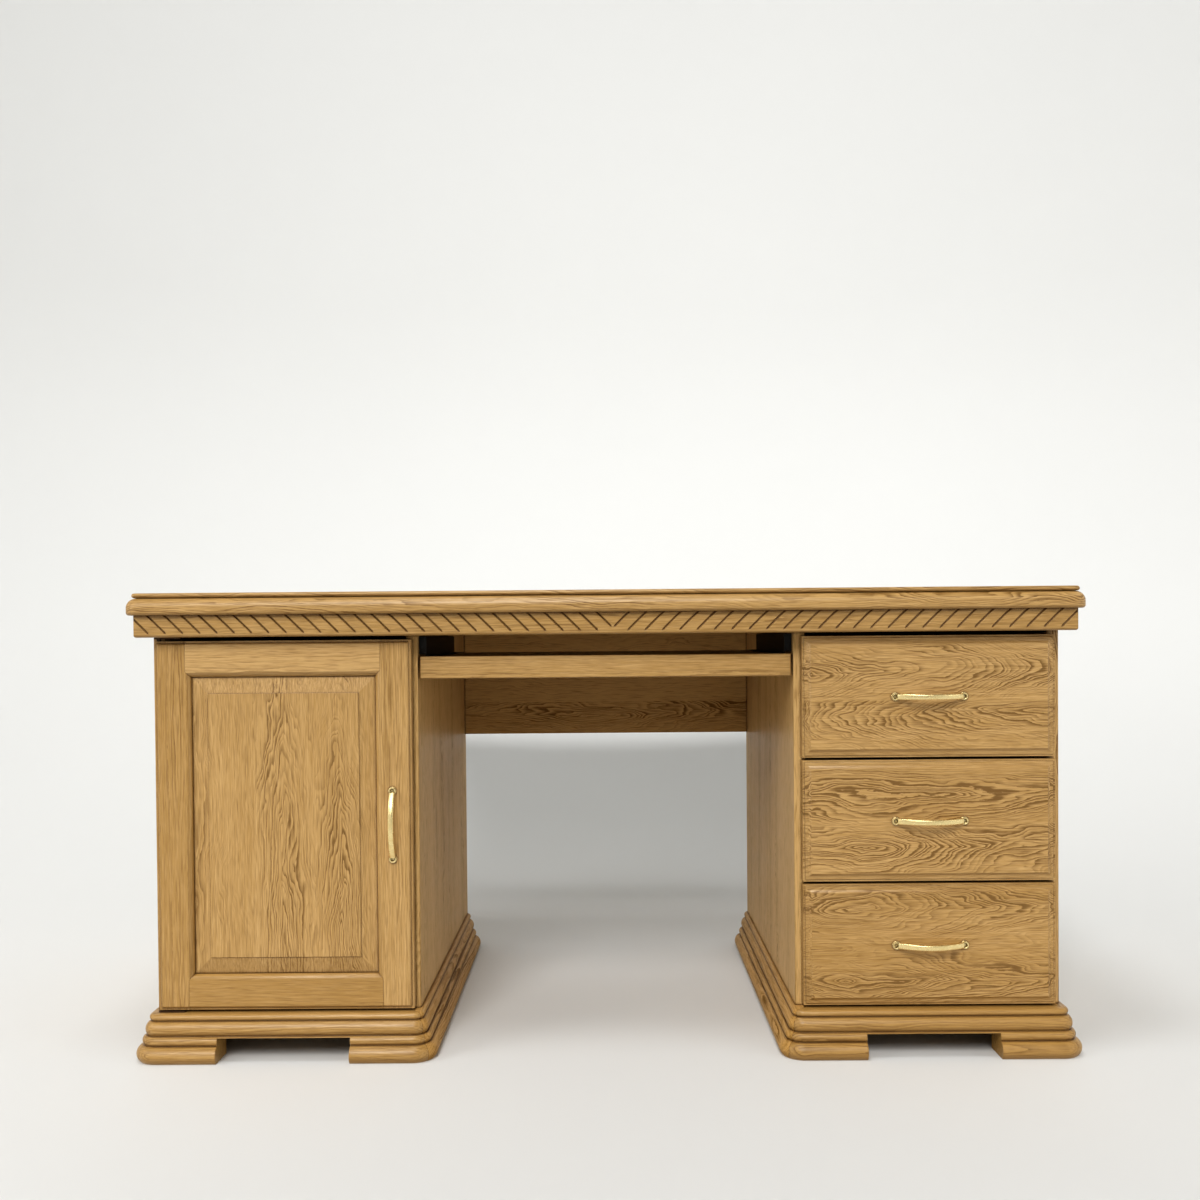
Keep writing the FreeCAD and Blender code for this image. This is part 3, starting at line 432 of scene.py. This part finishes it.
def drawer_box_wood(piece, along, seed):
    """Plain pale hardwood of the drawer boxes, sanded and left unlacquered."""
    chance = random.Random(seed)
    shift = [chance.uniform(-CHANCE_REACH, CHANCE_REACH) for axis in "XYZ"]
    finish = Finish("drawer_wood_" + piece, IOR=1.45)
    place = finish.place()
    bands = finish.noise(place, along_grain(along, (2.0, 60.0)), shift, 3.0)
    flecks = finish.noise(place, along_grain(along, (70.0, 900.0)), shift, 1.0).between(0.58, 0.70)
    colour = finish.blend(bands.between(0.3, 0.7), BOX_PALE, BOX_DARK)
    colour = finish.blend(flecks * 0.35, colour, BOX_FLECK)
    normal = finish.relief(1.0 - flecks * 0.6, 0.0003)
    return finish.wear(Base_Color=colour, Roughness=0.58 + bands * 0.12, Normal=normal)


def polished_brass():
    """Cast and polished brass, a little duller and browner where hands don't reach."""
    finish = Finish("polished_brass", Metallic=1.0, IOR=1.45)
    place = finish.place()
    tarnish = finish.noise(place, even(90.0), (3.0, 5.0, 7.0), 3.0)
    scuffs = finish.noise(place, even(900.0), (1.0, 2.0, 4.0), 2.0)
    dull = tarnish.between(0.45, 0.80)
    patina = finish.recess(PATINA_REACH, 0.42, 0.92)
    colour = finish.blend(dull * 0.35, BRASS_BRIGHT, BRASS_DULL)
    colour = finish.blend(patina, colour, BRASS_PATINA)
    rough = 0.22 + dull * 0.12 + scuffs * 0.08 + patina * 0.3
    return finish.wear(Base_Color=colour, Roughness=rough, Normal=finish.relief(scuffs, 0.00004))


def black_coated_steel():
    """Black powder-coated sheet with a fine orange peel, rubbed bare in faint streaks."""
    finish = Finish("black_coated_steel", IOR=1.5, Specular_IOR_Level=0.25)
    place = finish.place()
    peel = finish.noise(place, even(700.0), (2.0, 3.0, 5.0), 2.0)
    rubbed = finish.noise(place, (60.0, 4.0, 300.0), (1.0, 8.0, 2.0), 2.0).between(0.62, 0.78)
    colour = finish.blend(rubbed * 0.5, COAT_BLACK, COAT_RUBBED)
    rough = 0.46 - rubbed * 0.14 + peel * 0.08
    return finish.wear(Base_Color=colour, Roughness=rough, Normal=finish.relief(peel, 0.0001))


def zinc_steel():
    """Bright zinc-plated steel with cloudy plating."""
    finish = Finish("zinc_steel", Metallic=1.0)
    cloud = finish.noise(finish.place(), even(160.0), (4.0, 1.0, 6.0), 3.0)
    colour = finish.blend(cloud, ZINC_BRIGHT, ZINC_GREY)
    normal = finish.relief(cloud, 0.00006)
    return finish.wear(Base_Color=colour, Roughness=0.28 + cloud * 0.2, Normal=normal)


def browned_steel():
    """Steel of the door pivots, browned so that it hardly shows beside the oak."""
    finish = Finish("browned_steel", Metallic=0.85)
    cloud = finish.noise(finish.place(), even(240.0), (7.0, 3.0, 2.0), 3.0)
    colour = finish.blend(cloud, BROWNED_DARK, BROWNED_LIGHT)
    normal = finish.relief(cloud, 0.00006)
    return finish.wear(Base_Color=colour, Roughness=0.42 + cloud * 0.2, Normal=normal)


def brown_moulded_plastic():
    """Brown moulded plastic of the catch, with a fine spark-eroded grain."""
    finish = Finish("brown_moulded_plastic", IOR=1.5)
    place = finish.place()
    grain = finish.noise(place, even(1400.0), (5.0, 2.0, 9.0), 2.0)
    cloud = finish.noise(place, even(80.0), (2.0, 7.0, 1.0), 2.0)
    colour = finish.blend(cloud, CATCH_DARK, CATCH_LIGHT)
    normal = finish.relief(grain, 0.00008)
    return finish.wear(Base_Color=colour, Roughness=0.42 + grain * 0.15, Normal=normal)


def studio_paper():
    """Pale paper of the floor and backdrop."""
    finish = Finish("studio_paper", IOR=1.4, Specular_IOR_Level=0.15)
    cloud = finish.noise(finish.place(), even(0.7), (1.0, 2.0, 3.0), 2.0)
    colour = finish.blend(cloud, PAPER_LIGHT, PAPER_GREY)
    return finish.wear(Base_Color=colour, Roughness=0.75 + cloud * 0.1)


def dark_cloth():
    """Dark cloth hung behind the camera, which keeps the front from looking flat."""
    finish = Finish("dark_cloth", Specular_IOR_Level=0.1)
    cloud = finish.noise(finish.place(), even(2.0), (4.0, 2.0, 3.0), 2.0)
    return finish.wear(Base_Color=finish.blend(cloud, CLOTH_DARK, CLOTH_LIGHT))


def circle_arc(start, middle, end):
    """Points on the circle through three points, from start to end without the start."""
    a, b, c = (complex(*point) for point in (start, middle, end))
    ratio = (c - a) / (b - a)
    centre = a + (b - a) * (ratio - abs(ratio) ** 2) / (2j * ratio.imag)

    def turn_to(point):
        turned = (point - centre) / (a - centre)
        return math.atan2(turned.imag, turned.real) % math.tau

    sweep = turn_to(c)
    if turn_to(b) > sweep:
        sweep -= math.tau
    points = []
    for step in range(1, ROUND_STEPS + 1):
        turn = sweep * step / ROUND_STEPS
        spot = centre + (a - centre) * complex(math.cos(turn), math.sin(turn))
        points.append((spot.real, spot.imag))
    return points


def run_section(section):
    """Outline of a moulding: straight steps are points, rounds are (point on the arc, end point)."""
    points = [section[0]]
    for step in section[1:]:
        if isinstance(step[0], tuple):
            points += circle_arc(points[-1], *step)
        else:
            points.append(step)
    return points


def skin(bm, rows, turned=False):
    """Faces between each closed row of points and the next one."""
    for row, following in zip(rows, rows[1:]):
        for n in range(len(row)):
            m = (n + 1) % len(row)
            if turned:
                bm.faces.new((row[n], following[n], following[m], row[m]))
            else:
                bm.faces.new((row[n], row[m], following[m], following[n]))


def capped_skin(bm, rows, turned=False):
    """Faces between the rows, with the first and the last row closed."""
    skin(bm, rows, turned)
    bm.faces.new(rows[0])
    bm.faces.new(rows[-1])


def cleaned(bm):
    """Join points that lie together and turn all faces outward."""
    bmesh.ops.remove_doubles(bm, verts=bm.verts, dist=SAME_POINT)
    bmesh.ops.recalc_face_normals(bm, faces=bm.faces)


def finished_piece(name, bm, body, replaced, sharp=WOOD_SHARP_ANGLE):
    """Turn a mesh under construction into a piece of the desk that stands for a CAD node."""
    cleaned(bm)
    mesh = bpy.data.meshes.new(name)
    bm.to_mesh(mesh)
    bm.free()
    piece = bpy.data.objects.new(name, mesh)
    bpy.context.scene.collection.objects.link(piece)
    mesh.polygons.foreach_set("use_smooth", [True] * len(mesh.polygons))
    mesh.set_sharp_from_angle(angle=math.radians(sharp))
    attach(piece, body)
    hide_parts(replaced)
    return piece


def corner_spot(corner, turn, reach, height, radius):
    """Point of a moulding on a round corner, at a turn counted from +X."""
    x, y = corner
    return Vector((x + math.cos(turn) * (radius + reach), y + math.sin(turn) * (radius + reach), height))


def ring_corners(x0, x1, y0, y1, radius):
    """Centres of the four round corners, from the front left one and counter-clockwise."""
    return ((x0 + radius, y0 + radius), (x1 - radius, y0 + radius),
            (x1 - radius, y1 - radius), (x0 + radius, y1 - radius))


def moulded_desktop():
    """The glued-up top with its moulding run round all four edges."""
    low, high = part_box("desktop")
    lower = TOP_LOWER_RADIUS
    wide = TOP_OVOLO_WIDTH
    bead = TOP_BEAD_HEIGHT / 2
    quirk_top = high.z - TOP_BEAD_HEIGHT
    quirk_low = quirk_top - TOP_QUIRK_HEIGHT
    ovolo_low = quirk_low - TOP_OVOLO_HEIGHT
    bend = math.sqrt(0.5)
    section = run_section((
        (-lower, low.z),
        ((lower * (bend - 1), low.z + lower * (1 - bend)), (0.0, low.z + lower)),
        (0.0, ovolo_low),
        ((wide * (bend - 1), ovolo_low + TOP_OVOLO_HEIGHT * bend), (-wide, quirk_low)),
        (-wide, quirk_top),
        (-TOP_BEAD_SETBACK - bead, quirk_top),
        ((-TOP_BEAD_SETBACK, quirk_top + bead), (-TOP_BEAD_SETBACK - bead, high.z)),
    ))
    bm = bmesh.new()
    corners = ring_corners(low.x, high.x, low.y, high.y, TOP_CORNER_RADIUS)
    rows = []
    for reach, height in section:
        row = []
        for number, corner in enumerate(corners):
            for step in range(CORNER_STEPS + 1):
                turn = math.pi * (1 + number / 2 + step / CORNER_STEPS / 2)
                row.append(bm.verts.new(corner_spot(corner, turn, reach, height, TOP_CORNER_RADIUS)))
        rows.append(row)
    capped_skin(bm, rows)
    return finished_piece("moulded_desktop", bm, "carcass", "desktop")


def plinth_section():
    """Outline of the plinth from the floor up, one bulging round above the other."""
    reaches = [reach for reach, low in PLINTH_ROUNDS]
    levels = [low for reach, low in PLINTH_ROUNDS] + [PLINTH_HEIGHT]
    ends = [reach - PLINTH_QUIRK for reach in reaches[1:]] + [reaches[-1] - PLINTH_CAP_EASE]
    steps = [(reaches[0] - PLINTH_FOOT_TUCK, 0.0)]
    for reach, low, high, end in zip(reaches, levels, levels[1:], ends):
        steps.append(((reach, low + (high - low) * PLINTH_BULGE_LEVEL), (end, high)))
    return run_section(steps)


def plinth_length(side, way):
    """One mitred length of a plinth: way 0 is the front, then counter-clockwise."""
    xs = sorted(side * x for x in PLINTH_LINE_X)
    corners = ring_corners(*xs, *PLINTH_LINE_Y, PLINTH_CORNER_RADIUS)
    inner = ring_corners(*xs, *PLINTH_LINE_Y, PLINTH_WALL)
    section = plinth_section()
    bm = bmesh.new()
    rows = []
    for number, half in ((way, 1), ((way + 1) % 4, 0)):
        for step in range(CORNER_STEPS // 2 + 1):
            turn = math.pi * (1 + number / 2 + half / 4 + step / CORNER_STEPS / 2)
            spots = [corner_spot(corners[number], turn, *spot, PLINTH_CORNER_RADIUS) for spot in section]
            spots += [Vector((*inner[number], PLINTH_HEIGHT)), Vector((*inner[number], 0.0))]
            rows.append([bm.verts.new(spot) for spot in spots])
    capped_skin(bm, rows, turned=True)
    return bm


def without_foot_gap(bm, side):
    """Saw the gap between the two front feet out of a front length."""
    cleaned(bm)
    middle = Matrix.Translation((side * sum(PLINTH_LINE_X) / 2, PLINTH_LINE_Y[0], 0.0))
    size = Matrix.Diagonal((FOOT_GAP_WIDTH, SAW_CUT_DEPTH, 2 * FOOT_GAP_HEIGHT, 1.0))
    block = bmesh.new()
    bmesh.ops.create_cube(block, size=1.0, matrix=middle @ size)
    solids = []
    for part in (bm, block):
        mesh = bpy.data.meshes.new("saw_cut")
        part.to_mesh(mesh)
        part.free()
        solids.append(bpy.data.objects.new("saw_cut", mesh))
        bpy.context.scene.collection.objects.link(solids[-1])
    cut = solids[0].modifiers.new("saw_cut", "BOOLEAN")
    cut.operation = "DIFFERENCE"
    cut.solver = "EXACT"
    cut.object = solids[1]
    whole = solids[0].evaluated_get(bpy.context.evaluated_depsgraph_get())
    sawn = bmesh.new()
    sawn.from_mesh(whole.to_mesh())
    whole.to_mesh_clear()
    for solid in solids:
        mesh = solid.data
        bpy.data.objects.remove(solid)
        bpy.data.meshes.remove(mesh)
    return sawn


def moulded_plinths():
    """Four mitred lengths under each pedestal."""
    lengths = {}
    for name, side in (("right", 1), ("left", -1)):
        ways = ("front", "outer", "back", "inner") if side > 0 else ("front", "inner", "back", "outer")
        for way, place in enumerate(ways):
            bm = plinth_length(side, way)
            if place == "front":
                bm = without_foot_gap(bm, side)
            node = name + "_plinth_" + place
            lengths[node] = finished_piece("moulded_" + node, bm, "carcass", node)
    return lengths


def bow_bar(bm, half):
    """Flat oval bar of a handle on its arc, waisted in the middle."""
    low = HANDLE_FOOT_HEIGHT - HANDLE_THICKNESS / 2
    rise = HANDLE_PROJECTION - HANDLE_THICKNESS / 2 - low
    radius = (half * half + rise * rise) / (2 * rise)
    sweep = math.asin(half / radius)
    thick = HANDLE_THICKNESS / 2
    rows = []
    for number in range(HANDLE_SPANS + 1):
        share = (2 * number / HANDLE_SPANS - 1) * HANDLE_BAR_SHARE
        turn = share * sweep
        spot = Vector((radius * math.sin(turn), radius * (1 - math.cos(turn)) - low - rise, 0.0))
        out = Vector((math.sin(turn), -math.cos(turn), 0.0))
        swell = share * share
        wide = (HANDLE_WAIST_WIDTH + (HANDLE_END_WIDTH - HANDLE_WAIST_WIDTH) * swell) / 2
        row = []
        for facet in range(HANDLE_FACETS):
            angle = math.tau * facet / HANDLE_FACETS
            corners = abs(math.cos(angle)) ** HANDLE_FLATNESS + abs(math.sin(angle)) ** HANDLE_FLATNESS
            flat = corners ** (-1 / HANDLE_FLATNESS)
            aside = Vector((0.0, 0.0, wide * flat * math.sin(angle)))
            row.append(bm.verts.new(spot + out * (thick * flat * math.cos(angle)) + aside))
        rows.append(row)
    capped_skin(bm, rows)


def turned_foot(bm, x):
    """Turned foot of a handle, with its eye."""
    turns = [math.tau * n / FOOT_FACETS for n in range(FOOT_FACETS)]
    rows = []
    for radius, height in FOOT_TURNING:
        rows.append([bm.verts.new((x + radius * math.cos(turn), -height, radius * math.sin(turn)))
                     for turn in turns])
    capped_skin(bm, rows)


def cast_handle(name, body, centre, upright):
    """Bow handle: a bar between two turned feet."""
    half = HANDLE_CENTRES / 2
    bm = bmesh.new()
    bow_bar(bm, half)
    for end in (-half, half):
        turned_foot(bm, end)
    turn = Matrix.Rotation(math.radians(90.0), 4, "Y") if upright else Matrix.Identity(4)
    bm.transform(Matrix.Translation(centre) @ turn)
    return finished_piece("cast_" + name, bm, body, name, BRASS_SHARP_ANGLE)


def cast_handles():
    """One handle on the door and one on each drawer."""
    handles = []
    for body in ("door", "top_drawer", "middle_drawer", "bottom_drawer"):
        name = body + "_handle"
        low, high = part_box(name)
        centre = Vector(((low.x + high.x) / 2, high.y, (low.z + high.z) / 2))
        handles.append(cast_handle(name, body, centre, body == "door"))
    return handles


def eased(piece, width, angle):
    """Ease the edges of a wooden piece that are sharper than the angle, as sandpaper does."""
    ease = piece.modifiers.new("eased_edges", "BEVEL")
    ease.width = width
    ease.segments = EASE_SEGMENTS
    ease.limit_method = "ANGLE"
    ease.angle_limit = math.radians(angle)
    return ease


def eased_board(board):
    """Ease a CAD board: its facets are first joined into whole faces."""
    board.modifiers.new("weld", "WELD").merge_threshold = SAME_POINT
    flat = board.modifiers.new("flat_faces", "DECIMATE")
    flat.decimate_type = "DISSOLVE"
    flat.angle_limit = math.radians(FLAT_FACE_ANGLE)
    eased(board, BOARD_EASE, BOARD_EDGE_ANGLE).harden_normals = True


# Boards sawn far from the heart have straight, fine grain
STRAIGHT = {"slope": 0.02, "deep": 0.11, "wander": 0.004, "sway": 0.010, "line": 0.55}
FRIEZE_GRAIN = {**STRAIGHT, "line": 0.50, "tone_offset_and_painted_shade": 0.34, "stained_and_shaded": 1.0}
PLINTH_GRAIN = {**STRAIGHT, "sway": 0.020, "line": 1.1}
# Painted shade: outer plinth lengths by the bright floor are darker, inner ones in shade lighter and deeper
PLINTH_OUTSIDE = {"tone_offset_and_painted_shade": 0.60}
PLINTH_INSIDE = {"gloss": 0.03, "painted_shade_deeper": 0.45, "tone_offset_and_painted_shade": -0.35}

# The top is glued from eight staves
DESKTOP_GRAIN = {"stave": 0.0975, "edge": -0.39, "slope": 0.08, "sway": 0.034, "line": 0.9, "stained_and_shaded": 0.15}

# Grain of each oak piece: along, across, and what is special about its board
# Their tone offsets and deeper colours are partly painted shade, set by where each piece lies in the light
OAK_BOARDS = {
    "front_rail": ("X", "Z", {**STRAIGHT, "painted_shade_deeper": 0.7}),
    "modesty_panel": ("X", "Z", {
        "stave": 0.11, "edge": 0.45, "painted_shade_deeper": 0.20, "gloss": 0.1, "line": 1.7, "tone_offset_and_painted_shade": -0.50,
        "figure": [(0.538, 0.018, 0.15), (0.800, 0.120, 0.02), (0.860, 0.120, 0.02)]}),
    "frieze_front": ("X", "Z", FRIEZE_GRAIN),
    "frieze_back": ("X", "Z", FRIEZE_GRAIN),
    "frieze_right": ("Y", "Z", FRIEZE_GRAIN),
    "frieze_left": ("Y", "Z", FRIEZE_GRAIN),
    "cabinet_shelf": ("X", "Y", {"stave": 0.09}),
    "door_hinge_stile": ("Z", "X", {**STRAIGHT, "tone_offset_and_painted_shade": 0.45}),
    "door_handle_stile": ("Z", "X", {**STRAIGHT, "tone_offset_and_painted_shade": 0.18}),
    "door_top_rail": ("X", "Z", {**STRAIGHT, "sway": 0.018, "tone_offset_and_painted_shade": -0.42}),
    "door_bottom_rail": ("X", "Z", {**STRAIGHT, "tone_offset_and_painted_shade": 0.68}),
    "door_panel": ("Z", "X", {
        "stave": 0.104, "edge": -0.700, "wander": 0.012, "line": 1.25,
        "figure": [(-0.720, 0.060, 0.02), (-0.551, 0.028, 0.09), (-0.452, 0.050, 0.20)]}),
    "tray_board": ("X", "Y", {"stave": 0.10}),
    "tray_front": ("X", "Z", {**STRAIGHT, "tone_offset_and_painted_shade": 0.22}),
}
for pedestal in ("left", "right"):
    OAK_BOARDS[pedestal + "_outer_side"] = ("Z", "Y", {"stave": 0.10, "sway": 0.038, "line": 0.85})
    OAK_BOARDS[pedestal + "_inner_side"] = ("Z", "Y", {
        "stave": 0.10, "line": 0.6, "gloss": 0.04, "painted_shade_deeper": -0.25, "tone_offset_and_painted_shade": -0.5})
    OAK_BOARDS[pedestal + "_back"] = ("Z", "X", {"stave": 0.11, "sway": 0.042, "line": 0.9})
    OAK_BOARDS[pedestal + "_bottom"] = ("X", "Y", {"stave": 0.10})
    OAK_BOARDS[pedestal + "_top"] = ("X", "Y", {"stave": 0.10})

# Each drawer front is glued from two staves: tone offset with painted shade (darker low down), then per
# stave the heart's height above the lower edge, its depth and its slope
DRAWERS = {
    "bottom": (0.30, (0.048, 0.034, 0.21), (0.168, 0.038, 0.22)),
    "middle": (0.06, (0.062, 0.047, 0.23), (0.150, 0.050, 0.06)),
    "top": (0.08, (0.072, 0.064, -0.27), (0.148, 0.066, 0.27)),
}
DRAWER_STAVE = 0.11
DRAWER_STAVE_DROP = 0.013
for drawer, (tone_offset_and_painted_shade, *hearts) in DRAWERS.items():
    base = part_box(drawer + "_drawer_front")[0].z
    OAK_BOARDS[drawer + "_drawer_front"] = ("X", "Z", {
        "stave": DRAWER_STAVE, "edge": base - DRAWER_STAVE_DROP, "tone_offset_and_painted_shade": tone_offset_and_painted_shade, "line": 1.75,
        "figure": [(base + heart, depth, slope) for heart, depth, slope in hearts]})

# Starting numbers of the chance values
DESKTOP_SEED = 11
PLINTH_SEED = 40
BOARD_SEED = 100
BOX_SEED = 200
BOX_SEED_STEP = 7
RUNNER_SEED = 230


def dress(node, material):
    """Give a CAD piece its finish."""
    nodes[node].material_slots[0].material = material


def finish_desk():
    """Make the finer pieces and give every piece its own finish."""
    moulded_desktop().data.materials.append(oak("desktop", "X", "Y", DESKTOP_SEED, **DESKTOP_GRAIN))
    for number, (node, piece) in enumerate(moulded_plinths().items()):
        along = "X" if node.endswith(("front", "back")) else "Y"
        tone_with_painted_shade = PLINTH_INSIDE if node.endswith("inner") else PLINTH_OUTSIDE
        piece.data.materials.append(oak(node, along, "Z", PLINTH_SEED + number, **PLINTH_GRAIN, **tone_with_painted_shade))
        eased(piece, PLINTH_EASE, PLINTH_EDGE_ANGLE)
    brass = polished_brass()
    for handle in cast_handles():
        handle.data.materials.append(brass)
    for number, (node, (along, across, board)) in enumerate(OAK_BOARDS.items()):
        dress(node, oak(node, along, across, BOARD_SEED + number, **board))
        eased_board(nodes[node])
    for number, drawer in enumerate(DRAWERS):
        for part, along in (("left_side", "Y"), ("right_side", "Y"), ("back", "X"), ("bottom", "X")):
            node = drawer + "_drawer_" + part
            dress(node, drawer_box_wood(node, along, BOX_SEED + number * BOX_SEED_STEP))
    dress("drawer_runners", drawer_box_wood("drawer_runners", "Y", RUNNER_SEED))
    black = black_coated_steel()
    dress("tray_rails", black)
    dress("tray_slides", black)
    zinc = zinc_steel()
    dress("shelf_pins", zinc)
    dress("door_catch_plate", zinc)
    dress("door_pivots", browned_steel())
    dress("door_catch", brown_moulded_plastic())


# Round studio: radii of the floor's middle, of the flat floor and of the bend up into the wall, and
# the height of the wall
COVE_MIDDLE = 0.6
COVE_FLOOR = 1.35
COVE_BEND = 2.3
COVE_TOP = 6.0
COVE_TURNS = 72
COVE_BEND_STEPS = 12
BOUNCE_GAP = 0.01

# Opening of the outer cove behind the camera, and the dark cloth beyond it
OPENING_Y = -3.2
OPENING_TOP = 4.5
CLOTH_Y = -3.8
CLOTH_CORNERS = ((-4.0, 0.3), (4.0, 0.3), (4.0, 4.9), (-4.0, 4.9))

# Flag behind the desk
FLAG_HEIGHT = 0.80
FLAG_CORNERS = ((-0.80, 0.42), (0.80, 0.42), (0.88, 1.94), (-0.88, 1.94))

# Lamps: kind, settings, place, and turns about X, Y and Z in degrees
LAMPS = {
    "front_light": (
        "SUN", {"energy": 1.76, "angle": math.radians(26.0)}, (0.0, 0.0, 5.0), (50.0, 0.0, -9.0)),
    "overhead_light": (
        "POINT", {"energy": 120.0, "shadow_soft_size": 0.50}, (-0.4, -1.0, 4.1), (0.0, 0.0, 0.0)),
    "left_window": (
        "AREA", {"energy": 20.0, "size": 1.4}, (-3.0, -1.7, 1.7), (72.0, 0.0, -60.0)),
    "right_fill": (
        "AREA", {"energy": 10.0, "size": 1.4}, (3.0, -1.7, 1.0), (86.0, 0.0, 60.0)),
}
AIR_STRENGTH = 0.12


def stage_piece(name, mesh, paper):
    """Bring a piece of the studio onto the stage."""
    mesh.materials.append(paper)
    piece = bpy.data.objects.new(name, mesh)
    bpy.context.scene.collection.objects.link(piece)
    return piece


def paper_cove(name, paper, gap, open_front):
    """Round cove, the same from every side; its wall behind the camera can be left open."""
    wall = COVE_FLOOR + COVE_BEND + gap
    outline = [(COVE_MIDDLE, -gap), (COVE_FLOOR, -gap)]
    for step in range(1, COVE_BEND_STEPS + 1):
        turn = math.pi / 2 * step / COVE_BEND_STEPS
        reach = COVE_FLOOR + (COVE_BEND + gap) * math.sin(turn)
        outline.append((reach, COVE_BEND - (COVE_BEND + gap) * math.cos(turn)))
    outline += [(wall, OPENING_TOP), (wall, COVE_TOP)]
    bm = bmesh.new()
    turns = [math.tau * n / COVE_TURNS for n in range(COVE_TURNS)]
    rows = []
    for reach, height in outline:
        spots = [(reach * math.cos(turn), reach * math.sin(turn), height) for turn in turns]
        rows.append([bm.verts.new(spot) for spot in spots])
    bm.faces.new(rows[0])
    skin(bm, rows, turned=True)
    bmesh.ops.recalc_face_normals(bm, faces=bm.faces)
    if open_front:
        middles = {face: face.calc_center_median() for face in bm.faces}
        spare = [face for face, middle in middles.items()
                 if middle.y < OPENING_Y and middle.z < OPENING_TOP]
        bmesh.ops.delete(bm, geom=spare, context="FACES")
    mesh = bpy.data.meshes.new(name)
    bm.to_mesh(mesh)
    bm.free()
    mesh.polygons.foreach_set("use_smooth", [True] * len(mesh.polygons))
    cove = stage_piece(name, mesh, paper)
    cove.visible_shadow = False
    return cove


def studio_sheet(name, corners, cloth):
    """Flat sheet that the camera doesn't see."""
    mesh = bpy.data.meshes.new(name)
    mesh.from_pydata(corners, [], [(0, 1, 2, 3)])
    sheet = stage_piece(name, mesh, cloth)
    sheet.visible_camera = False
    return sheet


def studio():
    """Paper studio with its lamps.

    The camera sees one cove. Bounced light comes from a second one just outside it, which is open to
    dark cloth behind the camera. A flag shades the floor behind the desk, as a near wall would.
    """
    paper = studio_paper()
    cove = paper_cove("studio_cove", paper, 0.0, False)
    cove.visible_diffuse = False
    cove.visible_glossy = False
    bounce = paper_cove("bounce_cove", paper, BOUNCE_GAP, True)
    bounce.visible_camera = False

    flag = studio_sheet("studio_flag", [(x, y, FLAG_HEIGHT) for x, y in FLAG_CORNERS], paper)
    flag.visible_diffuse = False
    flag.visible_glossy = False
    dark_side = studio_sheet("dark_side", [(x, CLOTH_Y, z) for x, z in CLOTH_CORNERS], dark_cloth())
    dark_side.visible_shadow = False

    for name, (kind, settings, spot, turns) in LAMPS.items():
        light = bpy.data.lights.new(name, kind)
        for setting, value in settings.items():
            setattr(light, setting, value)
        lamp = bpy.data.objects.new(name, light)
        lamp.location = spot
        lamp.rotation_euler = [math.radians(turn) for turn in turns]
        lamp.visible_camera = False
        bpy.context.scene.collection.objects.link(lamp)

    world = bpy.data.worlds.new("studio_air")
    world.use_nodes = True
    air = world.node_tree.nodes["Background"]
    air.inputs["Color"].default_value = (1.0, 1.0, 1.0, 1.0)
    air.inputs["Strength"].default_value = AIR_STRENGTH
    bpy.context.scene.world = world
    bpy.context.scene.view_settings.view_transform = "Standard"
    bpy.context.scene.view_settings.look = "Medium High Contrast"


# Camera fitted to the photograph: place, lens and sensor in millimetres, upward shift, and its turn
# about the upright, its dip and its roll in radians
CAMERA_PLACE = (0.000295, -2.37293, 0.71665)
CAMERA_LENS = 36.0
CAMERA_SENSOR = 36.0
CAMERA_SHIFT = 0.0432
CAMERA_TURN = 0.0045
CAMERA_DIP = 0.0162
CAMERA_ROLL = -0.0083


def photo_camera():
    """Camera at the photograph's angle."""
    lens = bpy.data.cameras.new("photo_camera")
    lens.sensor_width = CAMERA_SENSOR
    lens.lens = CAMERA_LENS
    lens.shift_y = CAMERA_SHIFT
    camera = bpy.data.objects.new("photo_camera", lens)
    turned = Matrix.Rotation(CAMERA_TURN, 4, "Z") @ Matrix.Rotation(math.pi / 2 - CAMERA_DIP, 4, "X")
    turned = turned @ Matrix.Rotation(CAMERA_ROLL, 4, "Z")
    camera.matrix_world = Matrix.Translation(CAMERA_PLACE) @ turned
    bpy.context.scene.collection.objects.link(camera)
    bpy.context.scene.camera = camera


finish_desk()
studio()
photo_camera()
